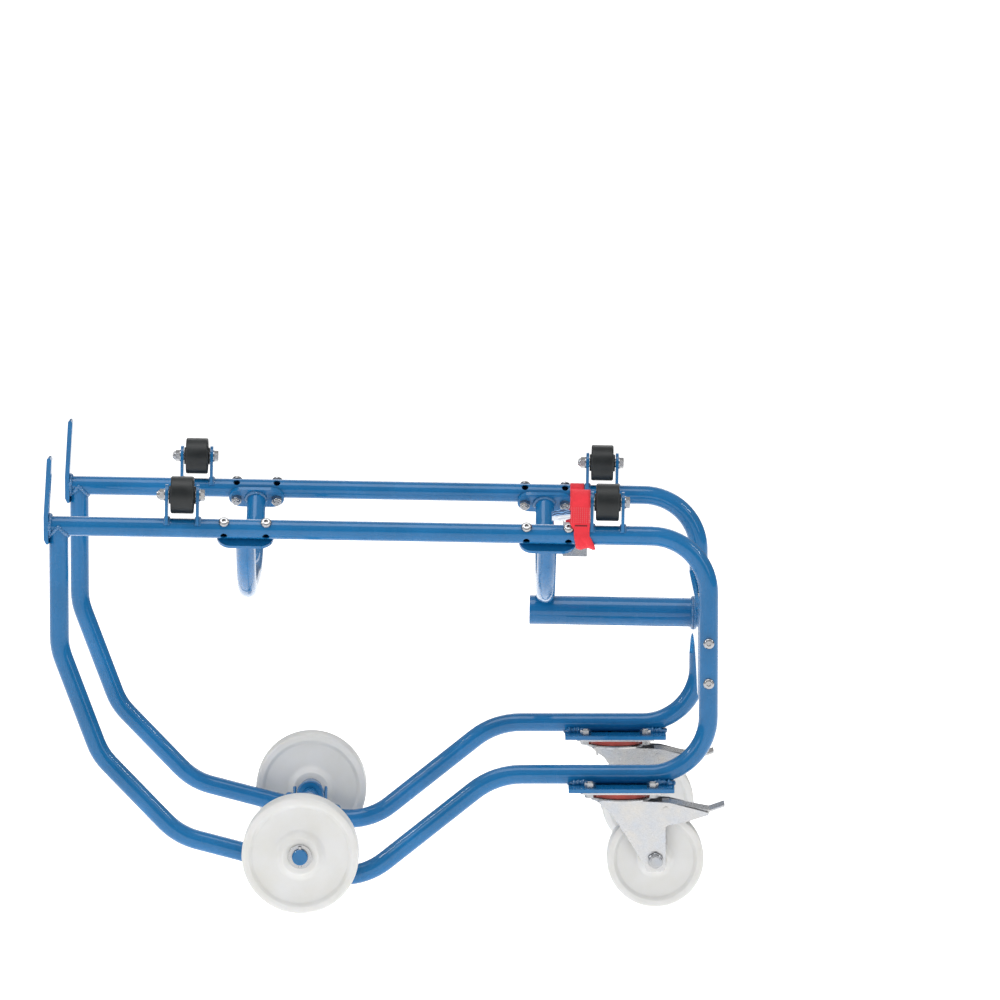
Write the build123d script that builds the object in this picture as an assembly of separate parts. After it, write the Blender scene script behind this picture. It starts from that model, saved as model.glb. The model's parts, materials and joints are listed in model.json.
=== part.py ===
from build123d import *
import os
from math import acos, atan2, cos, degrees, hypot, pi, radians, sin, tan

# Drum dolly: a wheeled cradle for one 200 litre drum lying on its side.
# X runs along the dolly from the toe claws (-X) to the castors (+X), Y runs
# across it and Z is up. The origin is on the floor, under the middle.

# ---------------------------------------------------------------- overall
HALF_LENGTH = 436.6        # middle to the claws' outer faces
FRAME_SPACING = 475.0      # between the planes of the two side frames
TUBE_D = 25.0              # side frame and cross tube
TUBE_WALL = 2.0
RAIL_SLOPE = 1.0           # degrees; the top rails fall towards the castors
RAIL_LEFT_Z = 492.0        # rail axis above the left upright

# ------------------------------------------------------------ side frames
CLAW_T = 6.0
RIGHT_INSET = 21.0         # right upright's axis, in from the half length
KNEE_X = 141.4             # where the level run under the socket ends
KEEL_REAR_X = -34.7
KEEL_REAR_DROP = 32.5      # tube's upper side, below the main axle
KEEL_FRONT_X = -266.4
KEEL_FRONT_RISE = 28.5     # tube's upper side, above the main axle
SHIN_INSET = 51.6          # lower end of the raked shin, in from the upright
SHIN_Z = 195.6
TOE_BEND_Z = 334.0
CORNER_R = 75.0
KNEE_R = 100.0
KEEL_R = 88.0
SHIN_R = 80.0
STUB_LENGTH = 30.0         # upright's top end, coped onto the rail

# ------------------------------------------------------------------ claws
CLAW_W = 30.0
CLAW_TOP_Z = 580.6
CLAW_BOTTOM_Z = 469.5
CLAW_BEND_Z = 505.0
CLAW_LEAN = 3.5            # degrees towards the drum
CLAW_BEVEL = 3.5

# --------------------------------------------------------- drum rollers
ROLLER_X = (-260.0, 285.0)
ROLLER_NAMES = ("front", "rear")
ROLLER_D = 48.0
ROLLER_TREAD = 29.5
ROLLER_HUB_W = 34.0
ROLLER_HUB_D = 23.0
ROLLER_RISE = 42.5         # roller axis above the rail axis
ROLLER_RECESS = 3.5
ROLLER_RIBS = 6
ROLLER_RIM_T = 4.5
ROLLER_RIB_T = 2.0
ROLLER_ROUND = 2.2
EAR_T = 4.0
EAR_W = 27.0
EAR_GAP = 35.6             # between the ears
SLEEVE_D = 12.0
RUNNING = 0.05             # radial running clearance on a shaft

# --------------------------------------------------------- M8 fasteners
M8_R = 4.0
M8_HOLE_R = 4.3
M8_AF = 13.0
M8_HEAD_H = 5.3
M8_NUT_H = 8.0
M8_PLAIN_NUT_H = 6.5
M8_WASHER_R = 8.0
M8_WASHER_T = 1.6
BUTTON_R = 7.0
BUTTON_H = 4.4
BUTTON_SOCKET_AF = 5.0
BUTTON_SOCKET_DEPTH = 2.6
THREAD_GAP = 0.05          # nut bore over the screw
SPARE_HOLE_R = 4.5         # unused second pair of rail holes
BOLT_TAIL = 1.5            # thread past the nut
HEAD_CORNER = 0.9          # a hexagon's corner circle, past half its flats
HEAD_CHAMFER = 0.8
COLLAR_SHARE = 0.28        # of a lock nut's height

# ---------------------------------------------------------- cross tubes
CROSS_X = (-179.0, 208.7)
CROSS_DEPTH = 96.5         # rail axis down to the level run's axis
CROSS_BEND_R = 190.0
FLANGE_L = 74.0
FLANGE_W = 36.0
FLANGE_T = 5.0
FLANGE_TILT = 45.0         # degrees, towards the middle
FLANGE_HOLE_PITCH = 54.0

# ----------------------------------------- lever socket and rear member
SOCKET_D = 38.0
SOCKET_WALL = 3.0
SOCKET_LEAD = 19.7         # socket's blind end ahead of the rear cross tube
REAR_PLATE_T = 5.0
REAR_PLATE_INSET = 8.1     # plate's outer face, in from the upright's axis
REAR_PLATE_TOP_Z = 378.0
REAR_PLATE_ARCH_Z = 319.0
REAR_PLATE_FOOT_Z = 270.0
REAR_PLATE_FOOT_W = 30.0
REAR_TAB_REACH = 26.0
REAR_TAB_ROUND = 8.0
REAR_SCREW_Z = (341.0, 289.0)

# ----------------------------------------------------- main axle, wheels
AXLE_X = -108.0
MAIN_WHEEL_D = 150.0
MAIN_TREAD = 46.0
MAIN_HUB_W = 55.0
MAIN_HUB_D = 50.0
AXLE_D = 20.0
BOSS_D = 32.0
BOSS_IN = 25.0             # boss reaches this far inside the frame plane
BOSS_OUT = 16.5            # and this far outside it
AXLE_WASHER_D = 31.0
AXLE_WASHER_T = 3.0
WHEEL_SIDE_GAP = 0.4
AXLE_TAIL = 7.2            # axle past the outer washer
SPRING_PIN_D = 4.0
SPRING_PIN_WALL = 0.8
SPRING_PIN_REACH = 3.5     # pin past the axle
AXLE_CHAMFER = 1.0
BRACKET_L = 78.0
BRACKET_T = 5.0
BRACKET_ABOVE = 7.0        # bracket's top edge above the tube
BRACKET_ROUND = 6.0
WHEEL_RIM_SHARE = 0.12     # rim's depth, of the wheel's radius
WHEEL_EDGE_SHARE = 0.05    # tread's chamfer, of the wheel's radius
WHEEL_HUB_EDGE = 3.0
WHEEL_HUB_ROOT = 4.0
WHEEL_DISH = 0.62          # web's half width at the hub, of the tread's
WHEEL_STEP = 0.84          # and where it meets the rim

# --------------------------------------------------------------- castors
CASTOR_INSET = 112.1       # swivel axis, in from the right upright
CASTOR_WHEEL_D = 125.0
CASTOR_RISE = 27.5         # top plate's top above the wheel
CASTOR_TRAIL = 44.0
CASTOR_TREAD = 38.0
CASTOR_HUB_W = 46.0
CASTOR_HUB_D = 34.0
CASTOR_SLEEVE_D = 15.0
CASTOR_BOLT_R = 6.0
CASTOR_BOLT_AF = 19.0
CASTOR_BOLT_HEAD_H = 7.5
CASTOR_NUT_H = 10.0
MOUNT_PLATE_L = 136.0
MOUNT_PLATE_W = 96.0
MOUNT_PLATE_T = 5.0
MOUNT_PLATE_ROUND = 3.0
TOP_PLATE_L = 105.0
TOP_PLATE_W = 85.0
TOP_PLATE_T = 3.0
TOP_PLATE_ROUND = 8.0
PLATE_HOLE_X = 80.0
PLATE_HOLE_Y = 60.0
SEAL_D = 69.0
SEAL_T = 7.0
SEAL_WALL = 4.0
FORK_DISC_D = 78.0
FORK_DISC_T = 3.5
FORK_GAP = 48.0            # between the fork's legs
FORK_T = 3.0
FORK_FOOT = 13.0           # half the foot's width
FORK_FOOT_DROP = 15.0      # foot's lower edge below the axle
FORK_FOOT_ROUND = 5.5
FORK_WAIST_X = -2.3        # a point of the leg's front edge
FORK_WAIST_DROP = 17.6     # and its drop below the wheel's crown
FORK_SHOULDER = 31.0       # legs' front edge, from the swivel axis
FORK_CHAMFER = 1.5
FORK_SKIRT_INSET = 5.0
FORK_SKIRT_H = 10.0
ARM_REACH = 111.9          # fork arm's tip from the swivel axis
ARM_TIP_H = 3.0
ARM_TIP_DROP = 1.0         # drops are below the wheel's crown
ARM_WAIST_DROP = 13.0
ARM_ROOT_DROP = 19.5
KINGPIN_R = 6.0
KINGPIN_HEAD_R = 10.2
KINGPIN_HEAD_H = 4.0
BALL_R = 3.0
BALL_COUNT = 14
SWIVEL_GAP = 0.5
PEDAL_PIVOT_X = 57.5       # from the swivel axis
PEDAL_PIVOT_RISE = 2.8     # above the castor wheel's crown
PEDAL_PIN_R = 2.5
PEDAL_PIN_HEAD_R = 4.0
PEDAL_PIN_HEAD_H = 1.6
PEDAL_W = 40.0
PEDAL_T = 2.5
PEDAL_REACH = 133.1        # pedal's tip from the swivel axis
PEDAL_CROWN = 8.0          # pedal's flat top above its pin
PEDAL_TIP_RISE = 5.5
PEDAL_ROOT = 4.5           # ahead of the pin
PEDAL_FLAT_L = 9.0
PEDAL_KNEE = 2.0           # past the fork arms' tips
CHEEK_DROP = 3.6
CHEEK_TAIL_DROP = 9.0
SHOE_SETBACK = 29.5        # shoe's middle, behind the pin
SHOE_DROP = 5.8            # and below it
SHOE_L = 14.0
SHOE_H = 13.5
SHOE_TILT = 31.0           # degrees; square to the wheel once pressed

# ----------------------------------------------------------------- strap
STRAP_W = 25.0
STRAP_T = 1.5
STRAP_CLEAR = 0.4          # loop over the rail
STRAP_TAB = 26.0           # doubled, sewn stretch beside the rail
STRAP_ROLL_R = 26.0
STRAP_ROLL_IN = 48.0       # roll's middle, inwards from the rail's axis
STRAP_ROLL_RISE = 14.0     # and above it
LABEL_L = 24.0
LABEL_W = 15.0
LABEL_T = 0.8
BUCKLE_W = 33.0
BUCKLE_L = 46.0
BUCKLE_H = 14.0
BUCKLE_T = 2.0
BUCKLE_PIN_R = 2.0
BUCKLE_PIN_HEAD = 1.0
BUCKLE_PIN_OUT = 8.7       # pin's middle, out from the strap
LEVER_GAP = 0.5            # between the lever and each cheek
CAM_R = 4.6                # lever's toothed end round its pin
LEVER_L = 22.0
LEVER_T = 4.0
LEVER_SLANT = 14.0         # degrees out from the strap

# ------------------------------------------------------------ worked out
TUBE_R = TUBE_D / 2
RAIL_Y = -FRAME_SPACING / 2
RAIL_END_X = -HALF_LENGTH + CLAW_T
LEFT_X = RAIL_END_X + TUBE_R
RIGHT_X = HALF_LENGTH - RIGHT_INSET
CASTOR_X = RIGHT_X - CASTOR_INSET
MAIN_AXLE_Z = MAIN_WHEEL_D / 2
CASTOR_AXLE_Z = CASTOR_WHEEL_D / 2
CASTOR_TOP_Z = CASTOR_WHEEL_D + CASTOR_RISE
MOUNT_TOP_Z = CASTOR_TOP_Z + MOUNT_PLATE_T
LOWER_Z = MOUNT_TOP_Z + TUBE_R
KEEL_FRONT = (KEEL_FRONT_X, MAIN_AXLE_Z + KEEL_FRONT_RISE - TUBE_R)
KEEL_REAR = (KEEL_REAR_X, MAIN_AXLE_Z - KEEL_REAR_DROP - TUBE_R)
KEEL_PITCH = degrees(atan2(KEEL_REAR[1] - KEEL_FRONT[1], KEEL_REAR[0] - KEEL_FRONT[0]))
SOCKET_R = SOCKET_D / 2
SOCKET_DROP = CROSS_DEPTH + TUBE_R + SOCKET_R
BOSS_END_Y = RAIL_Y - BOSS_OUT
INNER_WASHER_Y = BOSS_END_Y - WHEEL_SIDE_GAP / 2
HUB_INNER_Y = INNER_WASHER_Y - AXLE_WASHER_T - WHEEL_SIDE_GAP
MAIN_WHEEL_Y = HUB_INNER_Y - MAIN_HUB_W / 2
OUTER_WASHER_Y = HUB_INNER_Y - MAIN_HUB_W - WHEEL_SIDE_GAP
AXLE_END_Y = OUTER_WASHER_Y - AXLE_WASHER_T - AXLE_TAIL
SPRING_PIN_Y = OUTER_WASHER_Y - AXLE_WASHER_T - SPRING_PIN_D / 2 - WHEEL_SIDE_GAP / 2
TOP_PLATE_Z = CASTOR_TOP_Z - TOP_PLATE_T
SEAL_Z = TOP_PLATE_Z - SEAL_T
FORK_TOP_Z = SEAL_Z - SWIVEL_GAP
FORK_DISC_Z = FORK_TOP_Z - FORK_DISC_T
PEDAL_Z = CASTOR_WHEEL_D + PEDAL_PIVOT_RISE

X_AXIS = (1, 0, 0)
Y_AXIS = (0, 1, 0)
Z_AXIS = (0, 0, 1)


# ---------------------------------------------------------------- helpers
def rail_z(x):
    """Height of the sloping rails' axis at a distance along the dolly."""
    return RAIL_LEFT_Z - (x - LEFT_X) * tan(radians(RAIL_SLOPE))


def on_rail(x, y, shape):
    """Carry a shape drawn about the rail's axis to its place on a rail."""
    return Location((x, y, rail_z(x)), (0, RAIL_SLOPE, 0)) * shape


def stand(shape, origin, direction):
    """Carry a shape drawn along +Z to an origin, along a direction."""
    return Plane(origin=origin, z_dir=direction).location * shape


def far_copy(shape):
    """The matching piece on the far side."""
    return mirror(shape, about=Plane.XZ)


def both_sides(shapes):
    """Near shapes with their far copies, as one group."""
    shapes = list(shapes)
    return shapes + [far_copy(shape) for shape in shapes]


def group(shapes):
    """Separate solids that share one node."""
    return Compound([solid for shape in shapes for solid in shape.solids()])


def rod(radius, length, origin, direction):
    """A round bar from an origin along a direction."""
    return stand(extrude(Circle(radius), length), origin, direction)


def ring(outer, inner, length, origin, direction):
    """A round bar with a round hole through it."""
    return stand(extrude(Circle(outer) - Circle(inner), length), origin, direction)


def plate_xz(outline, y_low, thickness):
    """A plate with an outline of (x, z) points, between two y planes."""
    profile = Plane.XZ * make_face(Polyline(*outline, close=True))
    return Pos(0, y_low + thickness, 0) * extrude(profile, thickness)


def bent_tube(path, outer, wall):
    """A round tube along a path of runs and bends."""
    mouth = Plane(origin=path @ 0, z_dir=path % 0)
    return sweep(mouth * (Circle(outer) - Circle(outer - wall)), path=path)


def solid_bar(path, radius):
    """The filled outside of a bent tube, for coping what meets it."""
    return sweep(Plane(origin=path @ 0, z_dir=path % 0) * Circle(radius), path=path)


def hexagon(across_flats, height):
    """A hexagonal prism on the floor plane."""
    return extrude(RegularPolygon(across_flats / 2, 6, major_radius=False), height)


def hex_head(across_flats, height):
    """A bolt head whose upper corners are turned off."""
    cone = extrude(Circle(across_flats / 2 + HEAD_CORNER), height)
    cone = chamfer(cone.edges().group_by(Axis.Z)[-1], HEAD_CHAMFER)
    return hexagon(across_flats, height) & cone


def button_screw(length):
    """Button-head screw: the head above the floor plane, the shank below it."""
    head = extrude(Circle(BUTTON_R), BUTTON_H)
    head = fillet(head.edges().group_by(Axis.Z)[-1], BUTTON_H * 0.72)
    socket = Pos(0, 0, BUTTON_H - BUTTON_SOCKET_DEPTH) * hexagon(BUTTON_SOCKET_AF, BUTTON_H)
    shank = Pos(0, 0, -length) * extrude(Circle(M8_R), length)
    return head + shank - socket


def hex_bolt(radius, across_flats, head_height, length):
    """Hexagon bolt: the head above the floor plane, the shank below it."""
    shank = Pos(0, 0, -length) * extrude(Circle(radius), length)
    return hex_head(across_flats, head_height) + shank


def nut(radius, across_flats, height):
    """Lock nut from the floor plane up, with its domed collar on top."""
    collar_h = height * COLLAR_SHARE
    body = hex_head(across_flats, height - collar_h)
    collar = Pos(0, 0, height - collar_h) * extrude(Circle(across_flats / 2 - HEAD_CHAMFER), collar_h)
    collar = fillet(collar.edges().group_by(Axis.Z)[-1], collar_h * 0.6)
    return body + collar - extrude(Circle(radius + THREAD_GAP), height)


def washer(origin, direction):
    """Flat M8 washer."""
    return ring(M8_WASHER_R, M8_HOLE_R, M8_WASHER_T, origin, direction)


# ------------------------------------------------------------ side frames
def frame_path():
    """Axis of a side frame's tube: rail, right upright, floor run, toe."""
    corners = (
        (RAIL_END_X, rail_z(RAIL_END_X)),
        (RIGHT_X, rail_z(RIGHT_X)),
        (RIGHT_X, LOWER_Z),
        (KNEE_X, LOWER_Z),
        KEEL_REAR,
        KEEL_FRONT,
        (LEFT_X + SHIN_INSET, SHIN_Z),
        (LEFT_X, TOE_BEND_Z),
        (LEFT_X, rail_z(LEFT_X) - STUB_LENGTH),
    )
    radii = (CORNER_R, CORNER_R, KNEE_R, KEEL_R, KEEL_R, SHIN_R, SHIN_R)
    return FilletPolyline(*[(x, RAIL_Y, z) for x, z in corners], radius=radii)


def flange_direction():
    """Outward normal of a near flange: down and towards the middle."""
    return (0, sin(radians(FLANGE_TILT)), -cos(radians(FLANGE_TILT)))


def flange_screw_offsets():
    """Distances along the rail of a flange's two screws."""
    return (-FLANGE_HOLE_PITCH / 2, FLANGE_HOLE_PITCH / 2)


def side_frame():
    """One bent tube, closed on itself where the upright meets the rail."""
    top = rail_z(LEFT_X)
    stub = ring(TUBE_R, TUBE_R - TUBE_WALL, STUB_LENGTH, (LEFT_X, RAIL_Y, top - STUB_LENGTH), Z_AXIS)
    rail_core = on_rail(LEFT_X, RAIL_Y, rod(TUBE_R, 3 * TUBE_D, (-1.5 * TUBE_D, 0, 0), X_AXIS))
    frame = bent_tube(frame_path(), TUBE_R, TUBE_WALL) + (stub - rail_core)
    down_in = Vector(flange_direction())
    up_in = Vector(0, down_in.Y, -down_in.Z)
    for x in CROSS_X:
        for offset in flange_screw_offsets():
            for line, radius in ((down_in, M8_HOLE_R), (up_in, SPARE_HOLE_R)):
                start = Vector(offset, 0, 0) - line * TUBE_D
                frame -= on_rail(x, RAIL_Y, rod(radius, 2 * TUBE_D, start, line))
    for z in REAR_SCREW_Z:
        frame -= rod(M8_HOLE_R, 2 * TUBE_D, (RIGHT_X, RAIL_Y - TUBE_D, z), Y_AXIS)
    return frame - toe_claw()


def toe_claw():
    """Flat bar across the rail's end that the drum's rim stands on."""
    lean = (CLAW_TOP_Z - CLAW_BEND_Z) * tan(radians(CLAW_LEAN))
    outer = -HALF_LENGTH
    inner = outer + CLAW_T
    outline = (
        (outer, CLAW_BOTTOM_Z + CLAW_T),
        (outer, CLAW_BEND_Z),
        (outer + lean, CLAW_TOP_Z - CLAW_BEVEL / 2),
        (outer + lean + CLAW_BEVEL / 2, CLAW_TOP_Z),
        (inner + lean - CLAW_BEVEL / 2, CLAW_TOP_Z),
        (inner + lean, CLAW_TOP_Z - CLAW_BEVEL),
        (inner, CLAW_BEND_Z),
        (inner, CLAW_BOTTOM_Z),
        (inner - CLAW_T / 2, CLAW_BOTTOM_Z),
    )
    return plate_xz(outline, RAIL_Y - CLAW_W / 2, CLAW_W)


# ----------------------------------------------------------- drum rollers
def ear_offsets():
    """Inner faces of a roller's two ears, and which way each one faces."""
    return ((EAR_GAP / 2, 1), (-EAR_GAP / 2, -1))


def roller_ears(x):
    """The two upright ears of one roller, coped onto the rail."""
    ears = []
    for inner, way in ear_offsets():
        outline = Plane.YZ * (
            Pos(0, ROLLER_RISE / 2) * Rectangle(EAR_W, ROLLER_RISE)
            + Pos(0, ROLLER_RISE) * Circle(EAR_W / 2)
            - Pos(0, ROLLER_RISE) * Circle(M8_HOLE_R)
            - Circle(TUBE_R)
        )
        ear = Pos(inner, 0, 0) * extrude(outline, way * EAR_T)
        ear -= Pos(inner + way * EAR_T / 2, 0, 0) * Box(2 * EAR_T, 2 * EAR_W, 2.4 * EAR_T)
        ears.append(on_rail(x, RAIL_Y, ear))
    return ears


def roller_bolt(x):
    """Hexagon bolt through both ears, its head towards the castors."""
    head_x = EAR_GAP / 2 + EAR_T + M8_WASHER_T
    reach = 2 * head_x + M8_NUT_H + BOLT_TAIL
    bolt = hex_bolt(M8_R, M8_AF, M8_HEAD_H, reach)
    return on_rail(x, RAIL_Y, stand(bolt, (head_x, 0, ROLLER_RISE), X_AXIS))


def roller_nut(x):
    """Lock nut on the bolt's other end."""
    seat = -EAR_GAP / 2 - EAR_T - M8_WASHER_T
    return on_rail(x, RAIL_Y, stand(nut(M8_R, M8_AF, M8_NUT_H), (seat, 0, ROLLER_RISE), (-1, 0, 0)))


def roller_washers(x):
    """Washers under the bolt's head and the nut."""
    return [
        on_rail(x, RAIL_Y, washer((inner + way * EAR_T, 0, ROLLER_RISE), (way, 0, 0)))
        for inner, way in ear_offsets()
    ]


def roller_sleeve(x):
    """Steel tube clamped between the ears, on which the roller turns."""
    sleeve = ring(SLEEVE_D / 2, M8_HOLE_R, EAR_GAP, (-EAR_GAP / 2, 0, ROLLER_RISE), X_AXIS)
    return on_rail(x, RAIL_Y, sleeve)


def drum_roller(x):
    """Moulded roller: tread, recessed webs stiffened by ribs, raised hub."""
    outer = ROLLER_D / 2
    tread = Cylinder(outer, ROLLER_TREAD)
    tread = fillet(tread.edges(), ROLLER_ROUND)
    recess = Circle(outer - ROLLER_RIM_T) - Circle(ROLLER_HUB_D / 2)
    ribs = Rectangle(2 * outer, ROLLER_RIB_T)
    for turn in range(1, ROLLER_RIBS // 2):
        ribs += Rot(0, 0, turn * 360 / ROLLER_RIBS) * Rectangle(2 * outer, ROLLER_RIB_T)
    pocket = extrude(recess - ribs, ROLLER_RECESS)
    roller = tread + Cylinder(ROLLER_HUB_D / 2, ROLLER_HUB_W)
    roller -= Pos(0, 0, ROLLER_TREAD / 2 - ROLLER_RECESS) * pocket
    roller -= Pos(0, 0, -ROLLER_TREAD / 2) * pocket
    roller -= Cylinder(SLEEVE_D / 2 + RUNNING, ROLLER_HUB_W)
    return on_rail(x, RAIL_Y, stand(roller, (0, 0, ROLLER_RISE), X_AXIS))


# ------------------------------------------------------------ cross tubes
def cross_path(x):
    """Axis of a cross tube, from the near flange to the far one."""
    down_in = Vector(flange_direction())
    start = Vector(0, RAIL_Y, 0) + down_in * (TUBE_R + FLANGE_T)
    run = (CROSS_DEPTH + start.Z) * tan(radians(FLANGE_TILT))
    points = [
        (0, start.Y, start.Z),
        (0, start.Y + run, -CROSS_DEPTH),
        (0, -start.Y - run, -CROSS_DEPTH),
        (0, -start.Y, start.Z),
    ]
    return on_rail(x, 0, FilletPolyline(*points, radius=(CROSS_BEND_R, CROSS_BEND_R)))


def cross_flange(x):
    """Stadium plate against the near rail, drilled for its two screws."""
    outline = SlotOverall(FLANGE_L, FLANGE_W)
    for offset in flange_screw_offsets():
        outline -= Pos(offset, 0) * Circle(M8_HOLE_R)
    down_in = Vector(flange_direction())
    face = Plane(origin=down_in * TUBE_R, x_dir=X_AXIS, z_dir=down_in)
    return on_rail(x, RAIL_Y, extrude(face * outline, FLANGE_T))


def flange_screws(x):
    """Screws through the rail and the flange, heads outside and on top."""
    down_in = Vector(flange_direction())
    reach = TUBE_D + FLANGE_T + M8_NUT_H + BOLT_TAIL
    return [
        on_rail(x, RAIL_Y, stand(button_screw(reach), Vector(offset, 0, 0) - down_in * TUBE_R, -down_in))
        for offset in flange_screw_offsets()
    ]


def flange_nuts(x):
    """Lock nuts under a flange."""
    down_in = Vector(flange_direction())
    seat = down_in * (TUBE_R + FLANGE_T)
    return [
        on_rail(x, RAIL_Y, stand(nut(M8_R, M8_AF, M8_NUT_H), Vector(offset, 0, 0) + seat, down_in))
        for offset in flange_screw_offsets()
    ]


# ------------------------------------------ lever socket and rear member
def socket_length():
    """Socket from its blind end to the rear plate's outer face."""
    return RIGHT_X - REAR_PLATE_INSET - CROSS_X[1] + SOCKET_LEAD


def socket_tube(outer, inner):
    """Round tube in the middle, parallel to the rails."""
    tube = ring(outer, inner, socket_length(), (-SOCKET_LEAD, 0, -SOCKET_DROP), X_AXIS)
    return on_rail(CROSS_X[1], 0, tube)


def lever_socket():
    """The tube that the tilting lever is pushed into."""
    return socket_tube(SOCKET_R, SOCKET_R - SOCKET_WALL)


def rear_cross_plate():
    """Bent plate between the right uprights, arched below the socket."""
    half = FRAME_SPACING / 2 - TUBE_R
    foot = half - REAR_PLATE_FOOT_W
    outline = make_face(
        Polyline((foot, REAR_PLATE_FOOT_Z), (half, REAR_PLATE_FOOT_Z), (half, REAR_PLATE_TOP_Z),
                 (-half, REAR_PLATE_TOP_Z), (-half, REAR_PLATE_FOOT_Z), (-foot, REAR_PLATE_FOOT_Z))
        + ThreePointArc((-foot, REAR_PLATE_FOOT_Z), (0, REAR_PLATE_ARCH_Z), (foot, REAR_PLATE_FOOT_Z))
    )
    outer_x = RIGHT_X - REAR_PLATE_INSET
    plate = Pos(outer_x - REAR_PLATE_T, 0, 0) * extrude(Plane.YZ * outline, REAR_PLATE_T)
    tab = Box(REAR_TAB_REACH, REAR_PLATE_T, REAR_PLATE_TOP_Z - REAR_PLATE_FOOT_Z,
              align=(Align.MIN, Align.MIN, Align.MIN))
    tab = fillet(tab.edges().filter_by(Axis.Y).group_by(Axis.X)[-1], REAR_TAB_ROUND)
    tab = Pos(outer_x - REAR_PLATE_T, -half, REAR_PLATE_FOOT_Z) * tab
    plate += both_sides([tab])
    plate = fillet(plate.edges().filter_by(Axis.Z).group_by(Axis.X)[0], REAR_PLATE_T * 0.9)
    for z in REAR_SCREW_Z:
        plate -= rod(M8_HOLE_R, 2 * half + 2, (RIGHT_X, -half - 1, z), Y_AXIS)
    start = (socket_length() - SOCKET_LEAD - 3 * REAR_PLATE_T, 0, -SOCKET_DROP)
    hole = rod(SOCKET_R, 6 * REAR_PLATE_T, start, X_AXIS)
    return plate - on_rail(CROSS_X[1], 0, hole)


def rear_screws():
    """Screws through the right uprights into the plate's tabs."""
    reach = TUBE_D + REAR_PLATE_T + M8_NUT_H + BOLT_TAIL
    seat = RAIL_Y - TUBE_R
    return [stand(button_screw(reach), (RIGHT_X, seat, z), (0, -1, 0)) for z in REAR_SCREW_Z]


def rear_nuts():
    """Lock nuts inside the plate's tabs."""
    seat = RAIL_Y + TUBE_R + REAR_PLATE_T
    return [stand(nut(M8_R, M8_AF, M8_NUT_H), (RIGHT_X, seat, z), Y_AXIS) for z in REAR_SCREW_Z]


# ----------------------------------------------------- main axle, wheels
def keel_z(x):
    """Height of the side tube's axis on its run under the main axle."""
    return KEEL_FRONT[1] + (x - KEEL_FRONT[0]) * tan(radians(KEEL_PITCH))


def axle_boss():
    """Tube that carries the axle, coped onto the side frame."""
    boss = ring(BOSS_D / 2, AXLE_D / 2 + RUNNING, BOSS_IN + BOSS_OUT,
                (AXLE_X, BOSS_END_Y, MAIN_AXLE_Z), Y_AXIS)
    return boss - solid_bar(frame_path(), TUBE_R)


def axle_bracket():
    """Plate along the inside of the side tube, with the boss through it."""
    low = -TUBE_R / 2
    high = TUBE_R + BRACKET_ABOVE
    outline = Pos(0, (low + high) / 2) * RectangleRounded(BRACKET_L, high - low, BRACKET_ROUND)
    slab = extrude(Plane.XZ * outline, -BRACKET_T)
    seat = Location((AXLE_X, RAIL_Y + TUBE_R, keel_z(AXLE_X)), (0, -KEEL_PITCH, 0))
    hole = rod(BOSS_D / 2, 3 * BRACKET_T, (AXLE_X, RAIL_Y + TUBE_R - BRACKET_T, MAIN_AXLE_Z), Y_AXIS)
    return seat * slab - hole


def main_axle():
    """Axle right across, cross-drilled at each end for its spring pin."""
    axle = rod(AXLE_D / 2, -2 * AXLE_END_Y, (AXLE_X, AXLE_END_Y, MAIN_AXLE_Z), Y_AXIS)
    axle = chamfer(axle.edges().filter_by(GeomType.CIRCLE), AXLE_CHAMFER)
    for y in (SPRING_PIN_Y, -SPRING_PIN_Y):
        axle -= rod(SPRING_PIN_D / 2 + RUNNING, 2 * AXLE_D, (AXLE_X, y, MAIN_AXLE_Z - AXLE_D), Z_AXIS)
    return axle


def axle_washers():
    """Thrust washers on each side of the near wheel."""
    inner = AXLE_D / 2 + 2 * RUNNING
    return [
        ring(AXLE_WASHER_D / 2, inner, AXLE_WASHER_T, (AXLE_X, y, MAIN_AXLE_Z), (0, -1, 0))
        for y in (INNER_WASHER_Y, OUTER_WASHER_Y)
    ]


def spring_pin():
    """Slotted spring pin across the axle, which keeps the washer on."""
    half = AXLE_D / 2 + SPRING_PIN_REACH
    outer = SPRING_PIN_D / 2
    start = (AXLE_X, SPRING_PIN_Y, MAIN_AXLE_Z - half)
    pin = ring(outer, outer - SPRING_PIN_WALL, 2 * half, start, Z_AXIS)
    slot = Box(SPRING_PIN_WALL, SPRING_PIN_D, 2 * half, align=(Align.CENTER, Align.MIN, Align.MIN))
    return pin - Pos(*start) * slot


def wheel(outer_d, tread, hub_d, hub_w, bore_r):
    """Solid polyamide wheel: rim step, dished web, raised hub."""
    outer = outer_d / 2
    rim = outer * (1 - WHEEL_RIM_SHARE)
    edge = outer * WHEEL_EDGE_SHARE
    half = tread / 2
    hub = hub_d / 2
    side = [
        (bore_r, hub_w / 2),
        (hub - WHEEL_HUB_EDGE, hub_w / 2),
        (hub, hub_w / 2 - WHEEL_HUB_EDGE),
        (hub + WHEEL_HUB_ROOT, half * WHEEL_DISH),
        (rim - WHEEL_HUB_EDGE / 2, half * WHEEL_STEP),
        (rim, half),
        (outer - edge, half),
        (outer, half - edge),
    ]
    outline = side + [(r, -y) for r, y in reversed(side)]
    face = Plane.XZ * make_face(Polyline(*outline, close=True))
    return revolve(face, Axis.Z)


def main_wheel():
    """Near load wheel on the main axle."""
    body = wheel(MAIN_WHEEL_D, MAIN_TREAD, MAIN_HUB_D, MAIN_HUB_W, AXLE_D / 2 + RUNNING)
    return stand(body, (AXLE_X, MAIN_WHEEL_Y, MAIN_AXLE_Z), Y_AXIS)


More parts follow.
